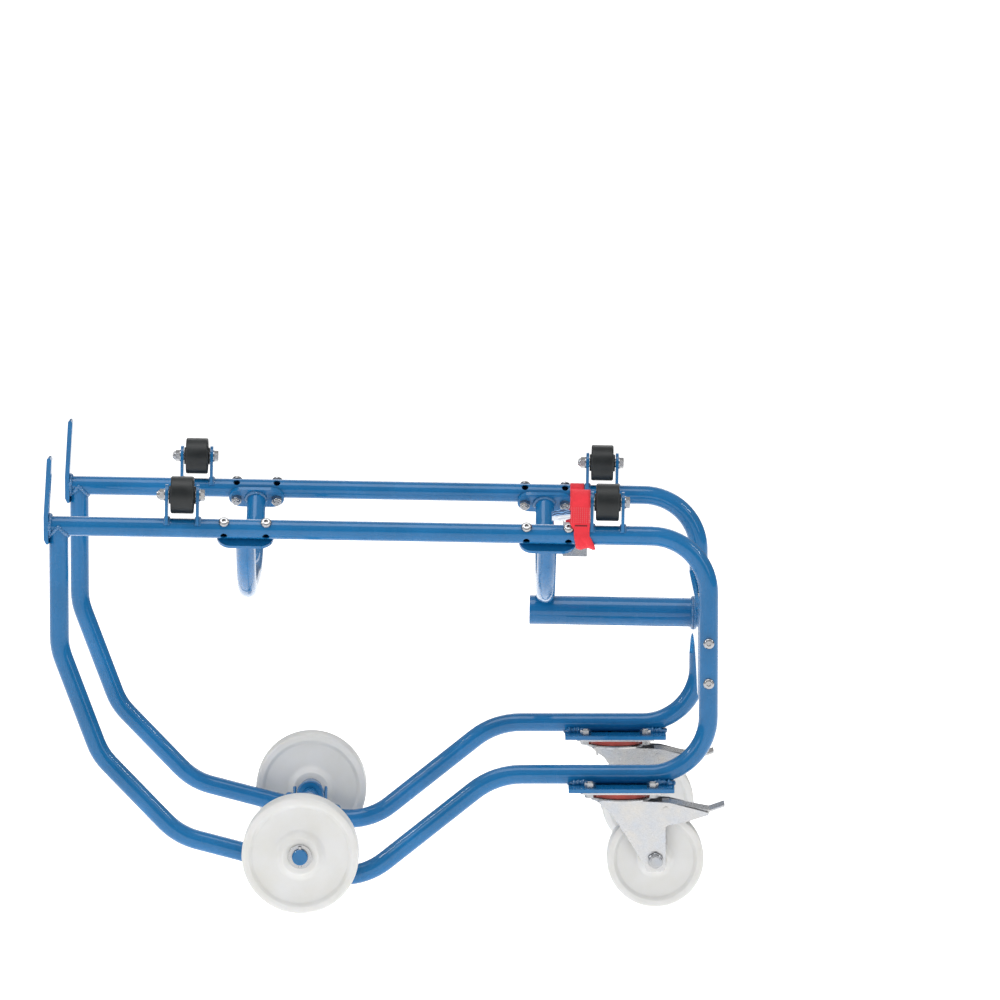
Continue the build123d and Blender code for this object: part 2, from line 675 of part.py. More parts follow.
# ---------------------------------------------------------------- castors
def plate_hole_centres():
    """Bolt places of a castor's top plate, about the swivel axis."""
    return [(x, y) for x in (-PLATE_HOLE_X / 2, PLATE_HOLE_X / 2)
            for y in (-PLATE_HOLE_Y / 2, PLATE_HOLE_Y / 2)]


def drilled_plate(length, width, thickness, z, corner):
    """Flat plate over the swivel axis with the four bolt holes."""
    outline = RectangleRounded(length, width, corner)
    for x, y in plate_hole_centres():
        outline -= Pos(x, y) * Circle(M8_HOLE_R)
    return Pos(0, 0, z) * extrude(outline, thickness)


def at_castor(shape):
    """Carry a shape drawn about the swivel axis to the near castor."""
    return Pos(CASTOR_X, RAIL_Y, 0) * shape


def mount_plate():
    """Plate welded under the side frame's floor run."""
    return at_castor(drilled_plate(MOUNT_PLATE_L, MOUNT_PLATE_W, MOUNT_PLATE_T, CASTOR_TOP_Z,
                                  MOUNT_PLATE_ROUND))


def top_plate():
    """The castor's own plate, holed for the kingpin."""
    plate = drilled_plate(TOP_PLATE_L, TOP_PLATE_W, TOP_PLATE_T, TOP_PLATE_Z, TOP_PLATE_ROUND)
    return at_castor(plate - rod(KINGPIN_R, 2 * TOP_PLATE_T, (0, 0, TOP_PLATE_Z - 1), Z_AXIS))


def seal_ring():
    """Ring that keeps dirt out of the swivel's balls."""
    outer = SEAL_D / 2
    return at_castor(ring(outer, outer - SEAL_WALL, SEAL_T, (0, 0, SEAL_Z), Z_AXIS))


def swivel_balls():
    """Balls between the top plate and the fork."""
    track = SEAL_D / 2 - SEAL_WALL - BALL_R - SWIVEL_GAP
    z = (TOP_PLATE_Z + FORK_TOP_Z) / 2
    return [
        at_castor(Pos(track * cos(turn * 2 * pi / BALL_COUNT), track * sin(turn * 2 * pi / BALL_COUNT), z)
                  * Sphere(BALL_R))
        for turn in range(BALL_COUNT)
    ]


def kingpin():
    """Riveted pin that the fork turns on."""
    foot_z = FORK_DISC_Z - SWIVEL_GAP - KINGPIN_HEAD_H
    pin = rod(KINGPIN_R, CASTOR_TOP_Z - foot_z, (0, 0, foot_z), Z_AXIS)
    return at_castor(pin + rod(KINGPIN_HEAD_R, KINGPIN_HEAD_H, (0, 0, foot_z), Z_AXIS))


def mount_bolts():
    """Bolts up through both plates, heads below."""
    reach = TOP_PLATE_T + MOUNT_PLATE_T + M8_PLAIN_NUT_H + BOLT_TAIL
    bolt = Rot(180, 0, 0) * hex_bolt(M8_R, M8_AF, M8_HEAD_H, reach)
    return [at_castor(Pos(x, y, TOP_PLATE_Z) * bolt) for x, y in plate_hole_centres()]


def mount_nuts():
    """Nuts on top of the mounting plate, each side of the tube."""
    body = hex_head(M8_AF, M8_PLAIN_NUT_H) - extrude(Circle(M8_R + THREAD_GAP), M8_PLAIN_NUT_H)
    return [at_castor(Pos(x, y, MOUNT_TOP_Z) * body) for x, y in plate_hole_centres()]


def fork_leg_outline():
    """Side view of a fork leg with its brake arm, about the swivel axis."""
    foot, low = FORK_FOOT, CASTOR_AXLE_Z - FORK_FOOT_DROP
    x, z = CASTOR_TRAIL, CASTOR_AXLE_Z
    crown = CASTOR_WHEEL_D
    knee = FORK_SHOULDER / 2
    face = make_face(Polyline(
        (-FORK_SHOULDER, FORK_DISC_Z), (-FORK_SHOULDER + knee / 3, FORK_DISC_Z - knee / 3),
        (-knee, FORK_DISC_Z - 0.8 * knee), (FORK_WAIST_X, crown - FORK_WAIST_DROP),
        (x - 1.1 * foot, z - foot / 2), (x - 0.9 * foot, low), (x + foot, low),
        (x + foot, crown - ARM_ROOT_DROP), (x + 1.6 * foot, crown - (ARM_ROOT_DROP + ARM_WAIST_DROP) / 2),
        (x + 3.1 * foot, crown - ARM_WAIST_DROP), (ARM_REACH, crown - ARM_TIP_DROP - ARM_TIP_H),
        (ARM_REACH, crown - ARM_TIP_DROP), (PEDAL_PIVOT_X + PEDAL_PIN_HEAD_R, FORK_DISC_Z - FORK_CHAMFER),
        (FORK_SHOULDER, FORK_DISC_Z), close=True))
    return fillet(face.vertices().group_by(Axis.Y)[0], FORK_FOOT_ROUND)


def castor_fork():
    """Pressed fork: swivel race on top, two legs and the brake arms."""
    disc = ring(FORK_DISC_D / 2, KINGPIN_R + RUNNING, FORK_DISC_T, (0, 0, FORK_DISC_Z), Z_AXIS)
    disc = chamfer(disc.edges().group_by(Axis.Z)[-1].sort_by(SortBy.RADIUS)[-1:], FORK_CHAMFER)
    inner = FORK_GAP / 2
    leg = extrude(Plane.XZ * fork_leg_outline(), -FORK_T)
    leg -= rod(CASTOR_BOLT_R + RUNNING, 4 * FORK_T, (CASTOR_TRAIL, -FORK_T, CASTOR_AXLE_Z), Y_AXIS)
    leg -= rod(PEDAL_PIN_R + RUNNING, 4 * FORK_T, (PEDAL_PIVOT_X, -FORK_T, PEDAL_Z), Y_AXIS)
    skirt = Box(FORK_T, FORK_GAP + FORK_T, FORK_SKIRT_H, align=(Align.MIN, Align.CENTER, Align.MAX))
    skirt = Pos(FORK_SKIRT_INSET - FORK_SHOULDER, 0, FORK_DISC_Z) * skirt
    fork = disc + Pos(0, inner, 0) * leg + Pos(0, -inner - FORK_T, 0) * leg + skirt
    return at_castor(fork)


def castor_bolt():
    """Axle bolt through the fork, with its lock nut on the outer side."""
    half = FORK_GAP / 2 + FORK_T
    reach = 2 * half + CASTOR_NUT_H + BOLT_TAIL
    bolt = hex_bolt(CASTOR_BOLT_R, CASTOR_BOLT_AF, CASTOR_BOLT_HEAD_H, reach)
    bolt = stand(bolt, (CASTOR_TRAIL, half, CASTOR_AXLE_Z), Y_AXIS)
    lock = nut(CASTOR_BOLT_R, CASTOR_BOLT_AF, CASTOR_NUT_H)
    lock = stand(lock, (CASTOR_TRAIL, -half, CASTOR_AXLE_Z), (0, -1, 0))
    return [at_castor(bolt), at_castor(lock)]


def castor_sleeve():
    """Steel tube clamped between the fork legs; the wheel turns on it."""
    start = (CASTOR_TRAIL, -FORK_GAP / 2, CASTOR_AXLE_Z)
    return at_castor(ring(CASTOR_SLEEVE_D / 2, CASTOR_BOLT_R + RUNNING, FORK_GAP, start, Y_AXIS))


def castor_wheel():
    """Polyamide castor wheel."""
    body = wheel(CASTOR_WHEEL_D, CASTOR_TREAD, CASTOR_HUB_D, CASTOR_HUB_W, CASTOR_SLEEVE_D / 2 + RUNNING)
    return at_castor(stand(body, (CASTOR_TRAIL, 0, CASTOR_AXLE_Z), Y_AXIS))


def brake_pin():
    """Riveted pin across the fork that the pedal rocks on."""
    half = FORK_GAP / 2 + FORK_T
    pin = rod(PEDAL_PIN_R, 2 * half, (PEDAL_PIVOT_X, -half, PEDAL_Z), Y_AXIS)
    for y, way in ((-half, -1), (half, 1)):
        pin += rod(PEDAL_PIN_HEAD_R, PEDAL_PIN_HEAD_H, (PEDAL_PIVOT_X, y, PEDAL_Z), (0, way, 0))
    return at_castor(pin)


def brake_pedal():
    """Bent pedal between the fork's arms: tread, cheeks, brake shoe, tip."""
    z = PEDAL_Z
    root_x = PEDAL_PIVOT_X - PEDAL_ROOT
    flat_x = root_x + PEDAL_FLAT_L
    knee_x = ARM_REACH + PEDAL_KNEE
    line = [(root_x, PEDAL_CROWN), (flat_x, PEDAL_CROWN), (knee_x, -PEDAL_T / 2),
            (PEDAL_REACH, PEDAL_TIP_RISE)]
    top = [(x, z + rise) for x, rise in line]
    under = [(x, z + rise - PEDAL_T) for x, rise in reversed(line)]
    tread = make_face(Polyline(*top, *under, close=True))
    pedal = Pos(0, PEDAL_W / 2, 0) * extrude(Plane.XZ * tread, PEDAL_W)
    cheek_face = make_face(Polyline(
        (root_x, z + PEDAL_CROWN), (root_x, z - CHEEK_DROP), (PEDAL_PIVOT_X + PEDAL_ROOT, z - CHEEK_DROP),
        (knee_x - PEDAL_KNEE, z - CHEEK_TAIL_DROP), (knee_x, z - PEDAL_T), (flat_x, z + PEDAL_CROWN),
        close=True))
    cheek = extrude(Plane.XZ * cheek_face, PEDAL_T)
    pedal += Pos(0, PEDAL_W / 2, 0) * cheek + Pos(0, PEDAL_T - PEDAL_W / 2, 0) * cheek
    shoe = Rot(0, SHOE_TILT, 0) * Box(SHOE_L, PEDAL_W - PEDAL_T, SHOE_H)
    pedal += Pos(PEDAL_PIVOT_X + SHOE_SETBACK, 0, z - SHOE_DROP) * shoe
    pedal -= rod(PEDAL_PIN_R + RUNNING, 2 * PEDAL_W, (PEDAL_PIVOT_X, -PEDAL_W, z), Y_AXIS)
    return at_castor(pedal)


# ------------------------------------------------------------------ strap
def web(x, width, y, profile):
    """Webbing of a width with a (y, z) profile about a rail's axis."""
    return on_rail(x, y, Pos(-width / 2, 0, 0) * extrude(Plane.YZ * profile, width))


def loop_x():
    """Middle of the gap between the rear cross tube's flange and the ear."""
    flange_end = CROSS_X[1] + FLANGE_L / 2
    ear = ROLLER_X[1] - EAR_GAP / 2 - EAR_T
    return (flange_end + ear) / 2


def loop_width():
    """Webbing bunches up to fit between the flange and the ear."""
    gap = ROLLER_X[1] - EAR_GAP / 2 - EAR_T - CROSS_X[1] - FLANGE_L / 2
    return min(STRAP_W, gap - 2 * STRAP_CLEAR)


def strap_x():
    """Middle of the full width of webbing, just clear of the ear."""
    return loop_x() + loop_width() / 2 - STRAP_W / 2


def rail_loop(y, way):
    """Webbing round a rail, drawn tight, with its outer side upright."""
    inner = TUBE_R + STRAP_CLEAR
    outer = inner + STRAP_T
    loop = Circle(outer) - Circle(inner)
    rise = TUBE_R + STRAP_CLEAR + STRAP_T
    side = Pos(-way * (inner + STRAP_T / 2), rise / 2) * Rectangle(STRAP_T, rise)
    return web(loop_x(), loop_width(), y, loop + (side if way > 0 else mirror(side, about=Plane.XZ)))


def sewn_y():
    """Middle of the doubled webbing, outside the rail."""
    return -TUBE_R - STRAP_CLEAR - STRAP_T / 2


def tension_strap():
    """Strap sewn round the near rail, its long free end rolled up inside."""
    base = TUBE_R + STRAP_CLEAR + STRAP_T
    y = sewn_y()
    sewn = Pos(y, base + STRAP_TAB / 2) * Rectangle(2 * STRAP_T, STRAP_TAB)
    tail = Pos(y, (base + ROLLER_RISE) / 2) * Rectangle(STRAP_T, ROLLER_RISE - base)
    reach = hypot(STRAP_ROLL_IN, STRAP_ROLL_RISE - ROLLER_RISE)
    line = degrees(atan2(STRAP_ROLL_RISE - ROLLER_RISE, STRAP_ROLL_IN))
    turn_r = -y
    roll_r = STRAP_ROLL_R - STRAP_T / 2
    lean = line + degrees(acos((turn_r - roll_r) / reach))
    turn = Circle(turn_r + STRAP_T / 2) - Circle(turn_r - STRAP_T / 2)
    outside = 2 * STRAP_ROLL_R
    turn &= Pos(0, outside / 2) * Rectangle(outside, outside)
    turn -= Rot(0, 0, lean) * Pos(outside / 2, -outside / 2) * Rectangle(outside, outside)
    run = (reach ** 2 - (roll_r - turn_r) ** 2) ** 0.5
    ply = Rot(0, 0, lean) * Pos(turn_r, -run / 2) * Rectangle(STRAP_T, run)
    roll = Pos(STRAP_ROLL_IN, STRAP_ROLL_RISE) * Circle(STRAP_ROLL_R)
    free = sewn + tail + Pos(0, ROLLER_RISE) * (turn + ply) + roll
    return rail_loop(RAIL_Y, 1) + web(strap_x(), STRAP_W, RAIL_Y, free)


def strap_label():
    """Sewn-in care label, standing out beside the doubled stretch."""
    z = TUBE_R + STRAP_CLEAR + STRAP_T + STRAP_TAB / 2
    tag = Box(LABEL_L, LABEL_T, LABEL_W, align=(Align.MAX, Align.CENTER, Align.CENTER))
    return on_rail(strap_x() - STRAP_W / 2, RAIL_Y, Pos(0, sewn_y(), z) * tag)


def buckle_drop():
    """Far loop's sewn end, below the rail's axis."""
    return TUBE_R + STRAP_CLEAR + STRAP_T + STRAP_TAB


def buckle_strap():
    """Short strap sewn round the far rail, holding the buckle."""
    base = TUBE_R + STRAP_CLEAR + STRAP_T
    sewn = Pos(-sewn_y(), -(base + buckle_drop()) / 2) * Rectangle(2 * STRAP_T, STRAP_TAB)
    return rail_loop(-RAIL_Y, -1) + web(strap_x(), STRAP_W, -RAIL_Y, sewn)


def at_buckle(shape):
    """Carry a shape drawn about the buckle's upper bar to the far rail."""
    return on_rail(strap_x(), -RAIL_Y, Pos(0, -sewn_y(), -buckle_drop()) * shape)


def buckle_pin_place():
    """The cam lever's pin: out from the buckle's back, down from its bar."""
    return BUCKLE_PIN_OUT, -BUCKLE_L / 2


def buckle_frame():
    """Channel of bent sheet: back, two cheeks and a bar for the strap."""
    back = Box(BUCKLE_W, BUCKLE_T, BUCKLE_L, align=(Align.CENTER, Align.MIN, Align.MAX))
    cheek = Box(BUCKLE_T, BUCKLE_H, BUCKLE_L, align=(Align.CENTER, Align.MIN, Align.MAX))
    shift = (BUCKLE_W - BUCKLE_T) / 2
    frame = back + Pos(shift, 0, 0) * cheek + Pos(-shift, 0, 0) * cheek
    frame = Pos(0, -BUCKLE_T / 2, 0) * frame
    return at_buckle(frame - rod(BUCKLE_PIN_R, 2 * BUCKLE_W, (-BUCKLE_W, *buckle_pin_place()), X_AXIS))


def buckle_pin():
    """Pin across the buckle for its cam lever."""
    start = (-BUCKLE_W / 2 - BUCKLE_PIN_HEAD, *buckle_pin_place())
    return at_buckle(rod(BUCKLE_PIN_R, BUCKLE_W + 2 * BUCKLE_PIN_HEAD, start, X_AXIS))


def buckle_lever():
    """Sprung cam lever that bites the webbing against the buckle's back."""
    width = BUCKLE_W - 2 * BUCKLE_T - 2 * LEVER_GAP
    handle = Pos(0, LEVER_L / 2) * Rectangle(LEVER_T, LEVER_L)
    profile = Circle(CAM_R) + Rot(0, 0, -LEVER_SLANT) * handle
    lever = Pos(-width / 2, 0, 0) * extrude(Plane.YZ * profile, width)
    lever -= rod(BUCKLE_PIN_R + RUNNING, 2 * width, (-width, 0, 0), X_AXIS)
    return at_buckle(Pos(0, *buckle_pin_place()) * lever)


# ----------------------------------------------------------------- pieces
def pieces():
    """Every node's name with its solid or its group of solids."""
    nodes = {
        "side_frame": side_frame(),
        "toe_claw": toe_claw(),
        "main_wheel": main_wheel(),
        "castor_mount_plate": mount_plate(),
        "castor_top_plate": top_plate(),
        "castor_fork": castor_fork(),
        "castor_wheel": castor_wheel(),
        "castor_sleeve": castor_sleeve(),
        "brake_pedal": brake_pedal(),
        "brake_pin": brake_pin(),
    }
    for name, x in zip(ROLLER_NAMES, ROLLER_X):
        nodes[name + "_drum_roller"] = drum_roller(x)
    paired = {}
    for name, shape in nodes.items():
        paired["near_" + name] = shape
        paired["far_" + name] = far_copy(shape)
    bolt = castor_bolt()
    paired["near_castor_bolt"] = group(bolt)
    paired["far_castor_bolt"] = group([far_copy(solid) for solid in bolt])
    for name, x in zip(ROLLER_NAMES, ROLLER_X):
        ears = roller_ears(x)
        paired["near_" + name + "_roller_ears"] = group(ears)
        paired["far_" + name + "_roller_ears"] = group([far_copy(ear) for ear in ears])
    for name, x in zip(ROLLER_NAMES, CROSS_X):
        paired[name + "_cross_tube"] = bent_tube(cross_path(x), TUBE_R, TUBE_WALL)
    singles = {
        "lever_socket": lever_socket(),
        "rear_cross_plate": rear_cross_plate(),
        "main_axle": main_axle(),
        "tension_strap": tension_strap(),
        "strap_label": strap_label(),
        "buckle_strap": buckle_strap(),
        "buckle_frame": buckle_frame(),
        "buckle_pin": buckle_pin(),
        "buckle_lever": buckle_lever(),
        "roller_bolts": [roller_bolt(x) for x in ROLLER_X],
        "roller_nuts": [roller_nut(x) for x in ROLLER_X],
        "roller_washers": [part for x in ROLLER_X for part in roller_washers(x)],
        "roller_sleeves": [roller_sleeve(x) for x in ROLLER_X],
        "cross_tube_flanges": [cross_flange(x) for x in CROSS_X],
        "cross_tube_screws": [part for x in CROSS_X for part in flange_screws(x)],
        "cross_tube_nuts": [part for x in CROSS_X for part in flange_nuts(x)],
        "rear_plate_screws": rear_screws(),
        "rear_plate_nuts": rear_nuts(),
        "axle_bosses": [axle_boss()],
        "axle_brackets": [axle_bracket()],
        "axle_washers": axle_washers(),
        "axle_spring_pins": [spring_pin()],
        "castor_seal_rings": [seal_ring()],
        "castor_balls": swivel_balls(),
        "castor_kingpins": [kingpin()],
        "castor_mount_bolts": mount_bolts(),
        "castor_mount_nuts": mount_nuts(),
    }
    for name, shape in singles.items():
        paired[name] = group(both_sides(shape)) if isinstance(shape, list) else shape
    return paired


os.makedirs("parts", exist_ok=True)
for node, shape in pieces().items():
    export_step(shape, "parts/" + node + ".step")
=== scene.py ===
import json
from math import acos, atan2, ceil, cos, hypot, pi, radians, sin, tau

import bmesh
import bpy
from bpy.props import FloatProperty, FloatVectorProperty, IntProperty, PointerProperty
from bpy.types import Operator, Panel, PropertyGroup
from mathutils import Matrix, Vector, noise


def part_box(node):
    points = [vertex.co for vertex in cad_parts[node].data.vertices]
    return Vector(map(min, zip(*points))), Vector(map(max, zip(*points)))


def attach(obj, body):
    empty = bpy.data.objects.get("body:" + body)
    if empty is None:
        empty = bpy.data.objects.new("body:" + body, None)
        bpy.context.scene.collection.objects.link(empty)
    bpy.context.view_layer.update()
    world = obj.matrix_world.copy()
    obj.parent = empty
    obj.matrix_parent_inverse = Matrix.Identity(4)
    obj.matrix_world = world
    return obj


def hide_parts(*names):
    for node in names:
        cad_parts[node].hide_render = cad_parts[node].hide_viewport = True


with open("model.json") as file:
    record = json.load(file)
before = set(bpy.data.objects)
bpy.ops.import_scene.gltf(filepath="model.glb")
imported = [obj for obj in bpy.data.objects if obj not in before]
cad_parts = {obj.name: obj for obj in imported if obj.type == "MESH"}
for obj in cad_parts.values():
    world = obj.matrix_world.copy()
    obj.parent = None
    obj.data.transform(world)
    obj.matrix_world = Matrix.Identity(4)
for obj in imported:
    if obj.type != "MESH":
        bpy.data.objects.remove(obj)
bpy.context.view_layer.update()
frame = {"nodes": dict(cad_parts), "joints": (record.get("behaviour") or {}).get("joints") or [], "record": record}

bl_info = {
    "name": "Drum dolly",
    "version": (1, 0, 0),
    "blender": (4, 5, 0),
    "location": "3D View > Sidebar > Drum dolly",
    "description": "Finishes, moulded wheels, weld beads and webbing for a drum dolly",
    "category": "Add Mesh",
}

RECORD = frame["record"]
JOINTS = {joint["name"]: joint for joint in frame["joints"]}
SIDES = (("near", -1), ("far", 1))
ENDS = ("front", "rear")
MM = 0.001
WEBBING_GAP = 0.4 * MM        # webbing over a rail
SEAM_START = 1.9 * MM         # seam above the rail's surface
FLANGE_FACE = 5.2 * MM        # flange's and bracket's face, from the tube's surface
LABEL_WIDTH = 15 * MM
ROLL_PLACE = (48 * MM, 14 * MM)   # strap's roll, (across, above) from the rail's axis
ROLL_RADIUS = 26 * MM
ROLL_TURNS = 10.5
WELD_SEED = 1             # keeps the beads' wander the same in every run


# ------------------------------------------------------------ from the frame
def middle(node):
    """Middle of a node's box."""
    low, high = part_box(node)
    return (low + high) / 2


def span(node, axis):
    """A node's size along one axis."""
    low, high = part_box(node)
    return high[axis] - low[axis]


def pivot(joint):
    """A joint's place."""
    return Vector(JOINTS[joint]["pos_m"])


RAIL_DIRECTION = Vector(JOINTS["near_front_drum_roller_spin"]["axis"]).normalized()
RAIL_Y = abs(pivot("near_castor_swivel").y)
TUBE_R = span("near_side_frame", 1) / 2
AXLE = pivot("near_main_wheel_spin")
CROSS_X = tuple(middle(end + "_cross_tube").x for end in ENDS)


def rail_point(x):
    """Point of the near rail's axis at a distance along the dolly."""
    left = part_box("near_toe_claw")[1].x
    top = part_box("near_side_frame")[1].z - TUBE_R / RAIL_DIRECTION.x
    return Vector((x, -RAIL_Y, top + (x - left) * RAIL_DIRECTION.z / RAIL_DIRECTION.x))


def rail_frame(x):
    """Matrix from (along, across, above) the near rail to the row frame."""
    along = RAIL_DIRECTION
    across = Vector((0, 1, 0))
    above = along.cross(across)
    turn = Matrix((along, across, above)).transposed().to_4x4()
    return Matrix.Translation(rail_point(x)) @ turn


# ----------------------------------------------------------------- materials
def new_material(name, colour, roughness, metallic=0.0):
    """A material with its shader's plain values set on the shader."""
    material = bpy.data.materials.new(name)
    material.use_nodes = True
    tree = material.node_tree
    shader = tree.nodes["Principled BSDF"]
    shader.inputs["Base Color"].default_value = (*colour, 1)
    shader.inputs["Roughness"].default_value = roughness
    shader.inputs["Metallic"].default_value = metallic
    material.diffuse_color = (*colour, 1)
    return material, tree, shader


def node(tree, kind, **settings):
    """A node with its properties and its inputs' values."""
    made = tree.nodes.new("ShaderNode" + kind)
    for key, value in settings.items():
        if hasattr(made, key):
            setattr(made, key, value)
        else:
            made.inputs[key.replace("_", " ")].default_value = value
    return made


def texture_space(tree, source="Object", scale=(1, 1, 1), location=(0, 0, 0)):
    """Coordinates of the piece, scaled for one pattern."""
    coordinates = node(tree, "TexCoord")
    mapping = node(tree, "Mapping")
    mapping.inputs["Scale"].default_value = scale
    mapping.inputs["Location"].default_value = location
    tree.links.new(coordinates.outputs[source], mapping.inputs["Vector"])
    return mapping.outputs["Vector"]


def noise_value(tree, vector, scale, detail=3.0, roughness=0.5):
    """Noise from 0 to 1 at so many features to a metre."""
    texture = node(tree, "TexNoise", Scale=scale, Detail=detail, Roughness=roughness)
    tree.links.new(vector, texture.inputs["Vector"])
    return texture.outputs["Fac"]


def ramp(tree, value, stops):
    """Colours or greys along a value."""
    made = node(tree, "ValToRGB")
    elements = made.color_ramp.elements
    while len(elements) < len(stops):
        elements.new(0.5)
    for element, (place, colour) in zip(elements, stops):
        element.position = place
        element.color = (*colour, 1) if len(colour) == 3 else colour
    tree.links.new(value, made.inputs["Fac"])
    return made.outputs["Color"]


def span_value(tree, value, low, high):
    """A 0 to 1 value carried to another span."""
    made = node(tree, "MapRange")
    made.inputs["To Min"].default_value = low
    made.inputs["To Max"].default_value = high
    tree.links.new(value, made.inputs["Value"])
    return made.outputs["Result"]


def math_value(tree, operation, first, second=None):
    """One sum on values, which may be numbers."""
    made = node(tree, "Math")
    made.operation = operation
    for socket, value in zip(made.inputs, (first, second)):
        if value is None:
            continue
        if isinstance(value, (int, float)):
            socket.default_value = value
        else:
            tree.links.new(value, socket)
    return made.outputs["Value"]


def relief(tree, shader, height, distance, strength=1.0, edge=0.0):
    """Bump from a height, over edges rounded in the shading."""
    bump = node(tree, "Bump")
    bump.inputs["Strength"].default_value = strength
    bump.inputs["Distance"].default_value = distance
    tree.links.new(height, bump.inputs["Height"])
    if edge:
        rounded = node(tree, "Bevel")
        rounded.samples = 6
        rounded.inputs["Radius"].default_value = edge
        tree.links.new(rounded.outputs["Normal"], bump.inputs["Normal"])
    tree.links.new(bump.outputs["Normal"], shader.inputs["Normal"])


def painted_steel():
    """Glossy blue powder coat: orange peel, faint mottle, patchy haze in the gloss."""
    colour = tuple(bpy.context.scene.dolly_finish.paint)
    material, tree, shader = new_material("blue_powder_coat", colour, 0.25)
    space = texture_space(tree)
    mottle = noise_value(tree, space, 14, 4)
    darker = tuple(c * 0.86 for c in colour)
    lighter = tuple(min(1, c * 1.1 + 0.004) for c in colour)
    tone = ramp(tree, mottle, [(0.3, darker), (0.7, lighter)])
    tree.links.new(tone, shader.inputs["Base Color"])
    haze = noise_value(tree, space, 60, 5, 0.6)
    tree.links.new(span_value(tree, haze, 0.17, 0.36), shader.inputs["Roughness"])
    shader.inputs["Specular IOR Level"].default_value = 0.12
    shader.inputs["Coat Weight"].default_value = 0.6
    shader.inputs["Coat Roughness"].default_value = 0.03
    peel = noise_value(tree, space, 420, 2)
    relief(tree, shader, peel, 0.00012, 0.5, edge=0.0009)
    return material


def weld_paint():
    """The same coat over rippled weld metal."""
    colour = tuple(c * 0.93 for c in bpy.context.scene.dolly_finish.paint)
    material, tree, shader = new_material("blue_over_weld", colour, 0.3)
    space = texture_space(tree)
    spatter = noise_value(tree, space, 700, 4, 0.6)
    tree.links.new(span_value(tree, spatter, 0.2, 0.5), shader.inputs["Roughness"])
    shader.inputs["Coat Weight"].default_value = 1.0
    shader.inputs["Coat Roughness"].default_value = 0.05
    relief(tree, shader, spatter, 0.0004, 0.6)
    return material


def zinc_plate(name, tint, low, high, edge=0.0004):
    """Bright zinc on pressed steel: cloudy sheen and fine draw marks."""
    material, tree, shader = new_material(name, tint, (low + high) / 2, 1.0)
    space = texture_space(tree)
    cloud = noise_value(tree, space, 55, 4, 0.55)
    warm = (tint[0] * 1.02, tint[1] * 0.985, tint[2] * 0.93)
    cool = (tint[0] * 0.9, tint[1] * 0.93, tint[2] * 0.98)
    tone = ramp(tree, cloud, [(0.32, cool), (0.68, warm)])
    tree.links.new(tone, shader.inputs["Base Color"])
    marks = noise_value(tree, texture_space(tree, scale=(1, 1, 9)), 320, 3, 0.6)
    tree.links.new(span_value(tree, marks, low, high), shader.inputs["Roughness"])
    relief(tree, shader, marks, 0.00006, 0.35, edge=edge)
    return material


def polyamide(name, axle_x, axle_z):
    """Natural white polyamide with turning marks about its axle."""
    colour = tuple(bpy.context.scene.dolly_finish.wheel)
    material, tree, shader = new_material(name, colour, 0.36)
    place = texture_space(tree, location=(-axle_x, 0, -axle_z))
    parts = node(tree, "SeparateXYZ")
    tree.links.new(place, parts.inputs["Vector"])
    flat = node(tree, "CombineXYZ")
    tree.links.new(parts.outputs["X"], flat.inputs["X"])
    tree.links.new(parts.outputs["Z"], flat.inputs["Y"])
    length = node(tree, "VectorMath")
    length.operation = "LENGTH"
    tree.links.new(flat.outputs["Vector"], length.inputs[0])
    rings = math_value(tree, "SINE", math_value(tree, "MULTIPLY", length.outputs["Value"], tau / 0.0016))
    cloud = noise_value(tree, place, 24, 5, 0.6)
    aged = (colour[0] * 0.95, colour[1] * 0.945, colour[2] * 0.91)
    tone = ramp(tree, cloud, [(0.3, aged), (0.62, colour)])
    tree.links.new(tone, shader.inputs["Base Color"])
    scuff = noise_value(tree, place, 240, 4, 0.65)
    tree.links.new(span_value(tree, scuff, 0.27, 0.5), shader.inputs["Roughness"])
    shader.inputs["Subsurface Weight"].default_value = 0.18
    shader.inputs["Subsurface Radius"].default_value = (0.006, 0.005, 0.0035)
    shader.inputs["Subsurface Scale"].default_value = 0.8
    height = math_value(tree, "ADD", math_value(tree, "MULTIPLY", rings, 0.25), scuff)
    relief(tree, shader, height, 0.00007, 0.6)
    return material


def moulded_black():
    """Black moulded plastic with a fine spark texture and dusty scuffs."""
    material, tree, shader = new_material("black_moulding", (0.008, 0.01, 0.011), 0.42)
    space = texture_space(tree)
    dust = noise_value(tree, space, 45, 5, 0.6)
    tone = ramp(tree, dust, [(0.35, (0.006, 0.008, 0.009)), (0.75, (0.016, 0.019, 0.02))])
    tree.links.new(tone, shader.inputs["Base Color"])
    shader.inputs["Specular IOR Level"].default_value = 0.35
    grain = noise_value(tree, space, 1400, 2)
    tree.links.new(span_value(tree, dust, 0.3, 0.52), shader.inputs["Roughness"])
    relief(tree, shader, grain, 0.00008, 0.5, edge=0.0006)
    return material


def moulded_red():
    """Red moulded seal ring."""
    material, tree, shader = new_material("red_moulding", (0.34, 0.03, 0.018), 0.4)
    space = texture_space(tree)
    cloud = noise_value(tree, space, 90, 4)
    tone = ramp(tree, cloud, [(0.3, (0.27, 0.022, 0.013)), (0.7, (0.42, 0.042, 0.024))])
    tree.links.new(tone, shader.inputs["Base Color"])
    relief(tree, shader, noise_value(tree, space, 900, 2), 0.00006, 0.4, edge=0.0005)
    return material


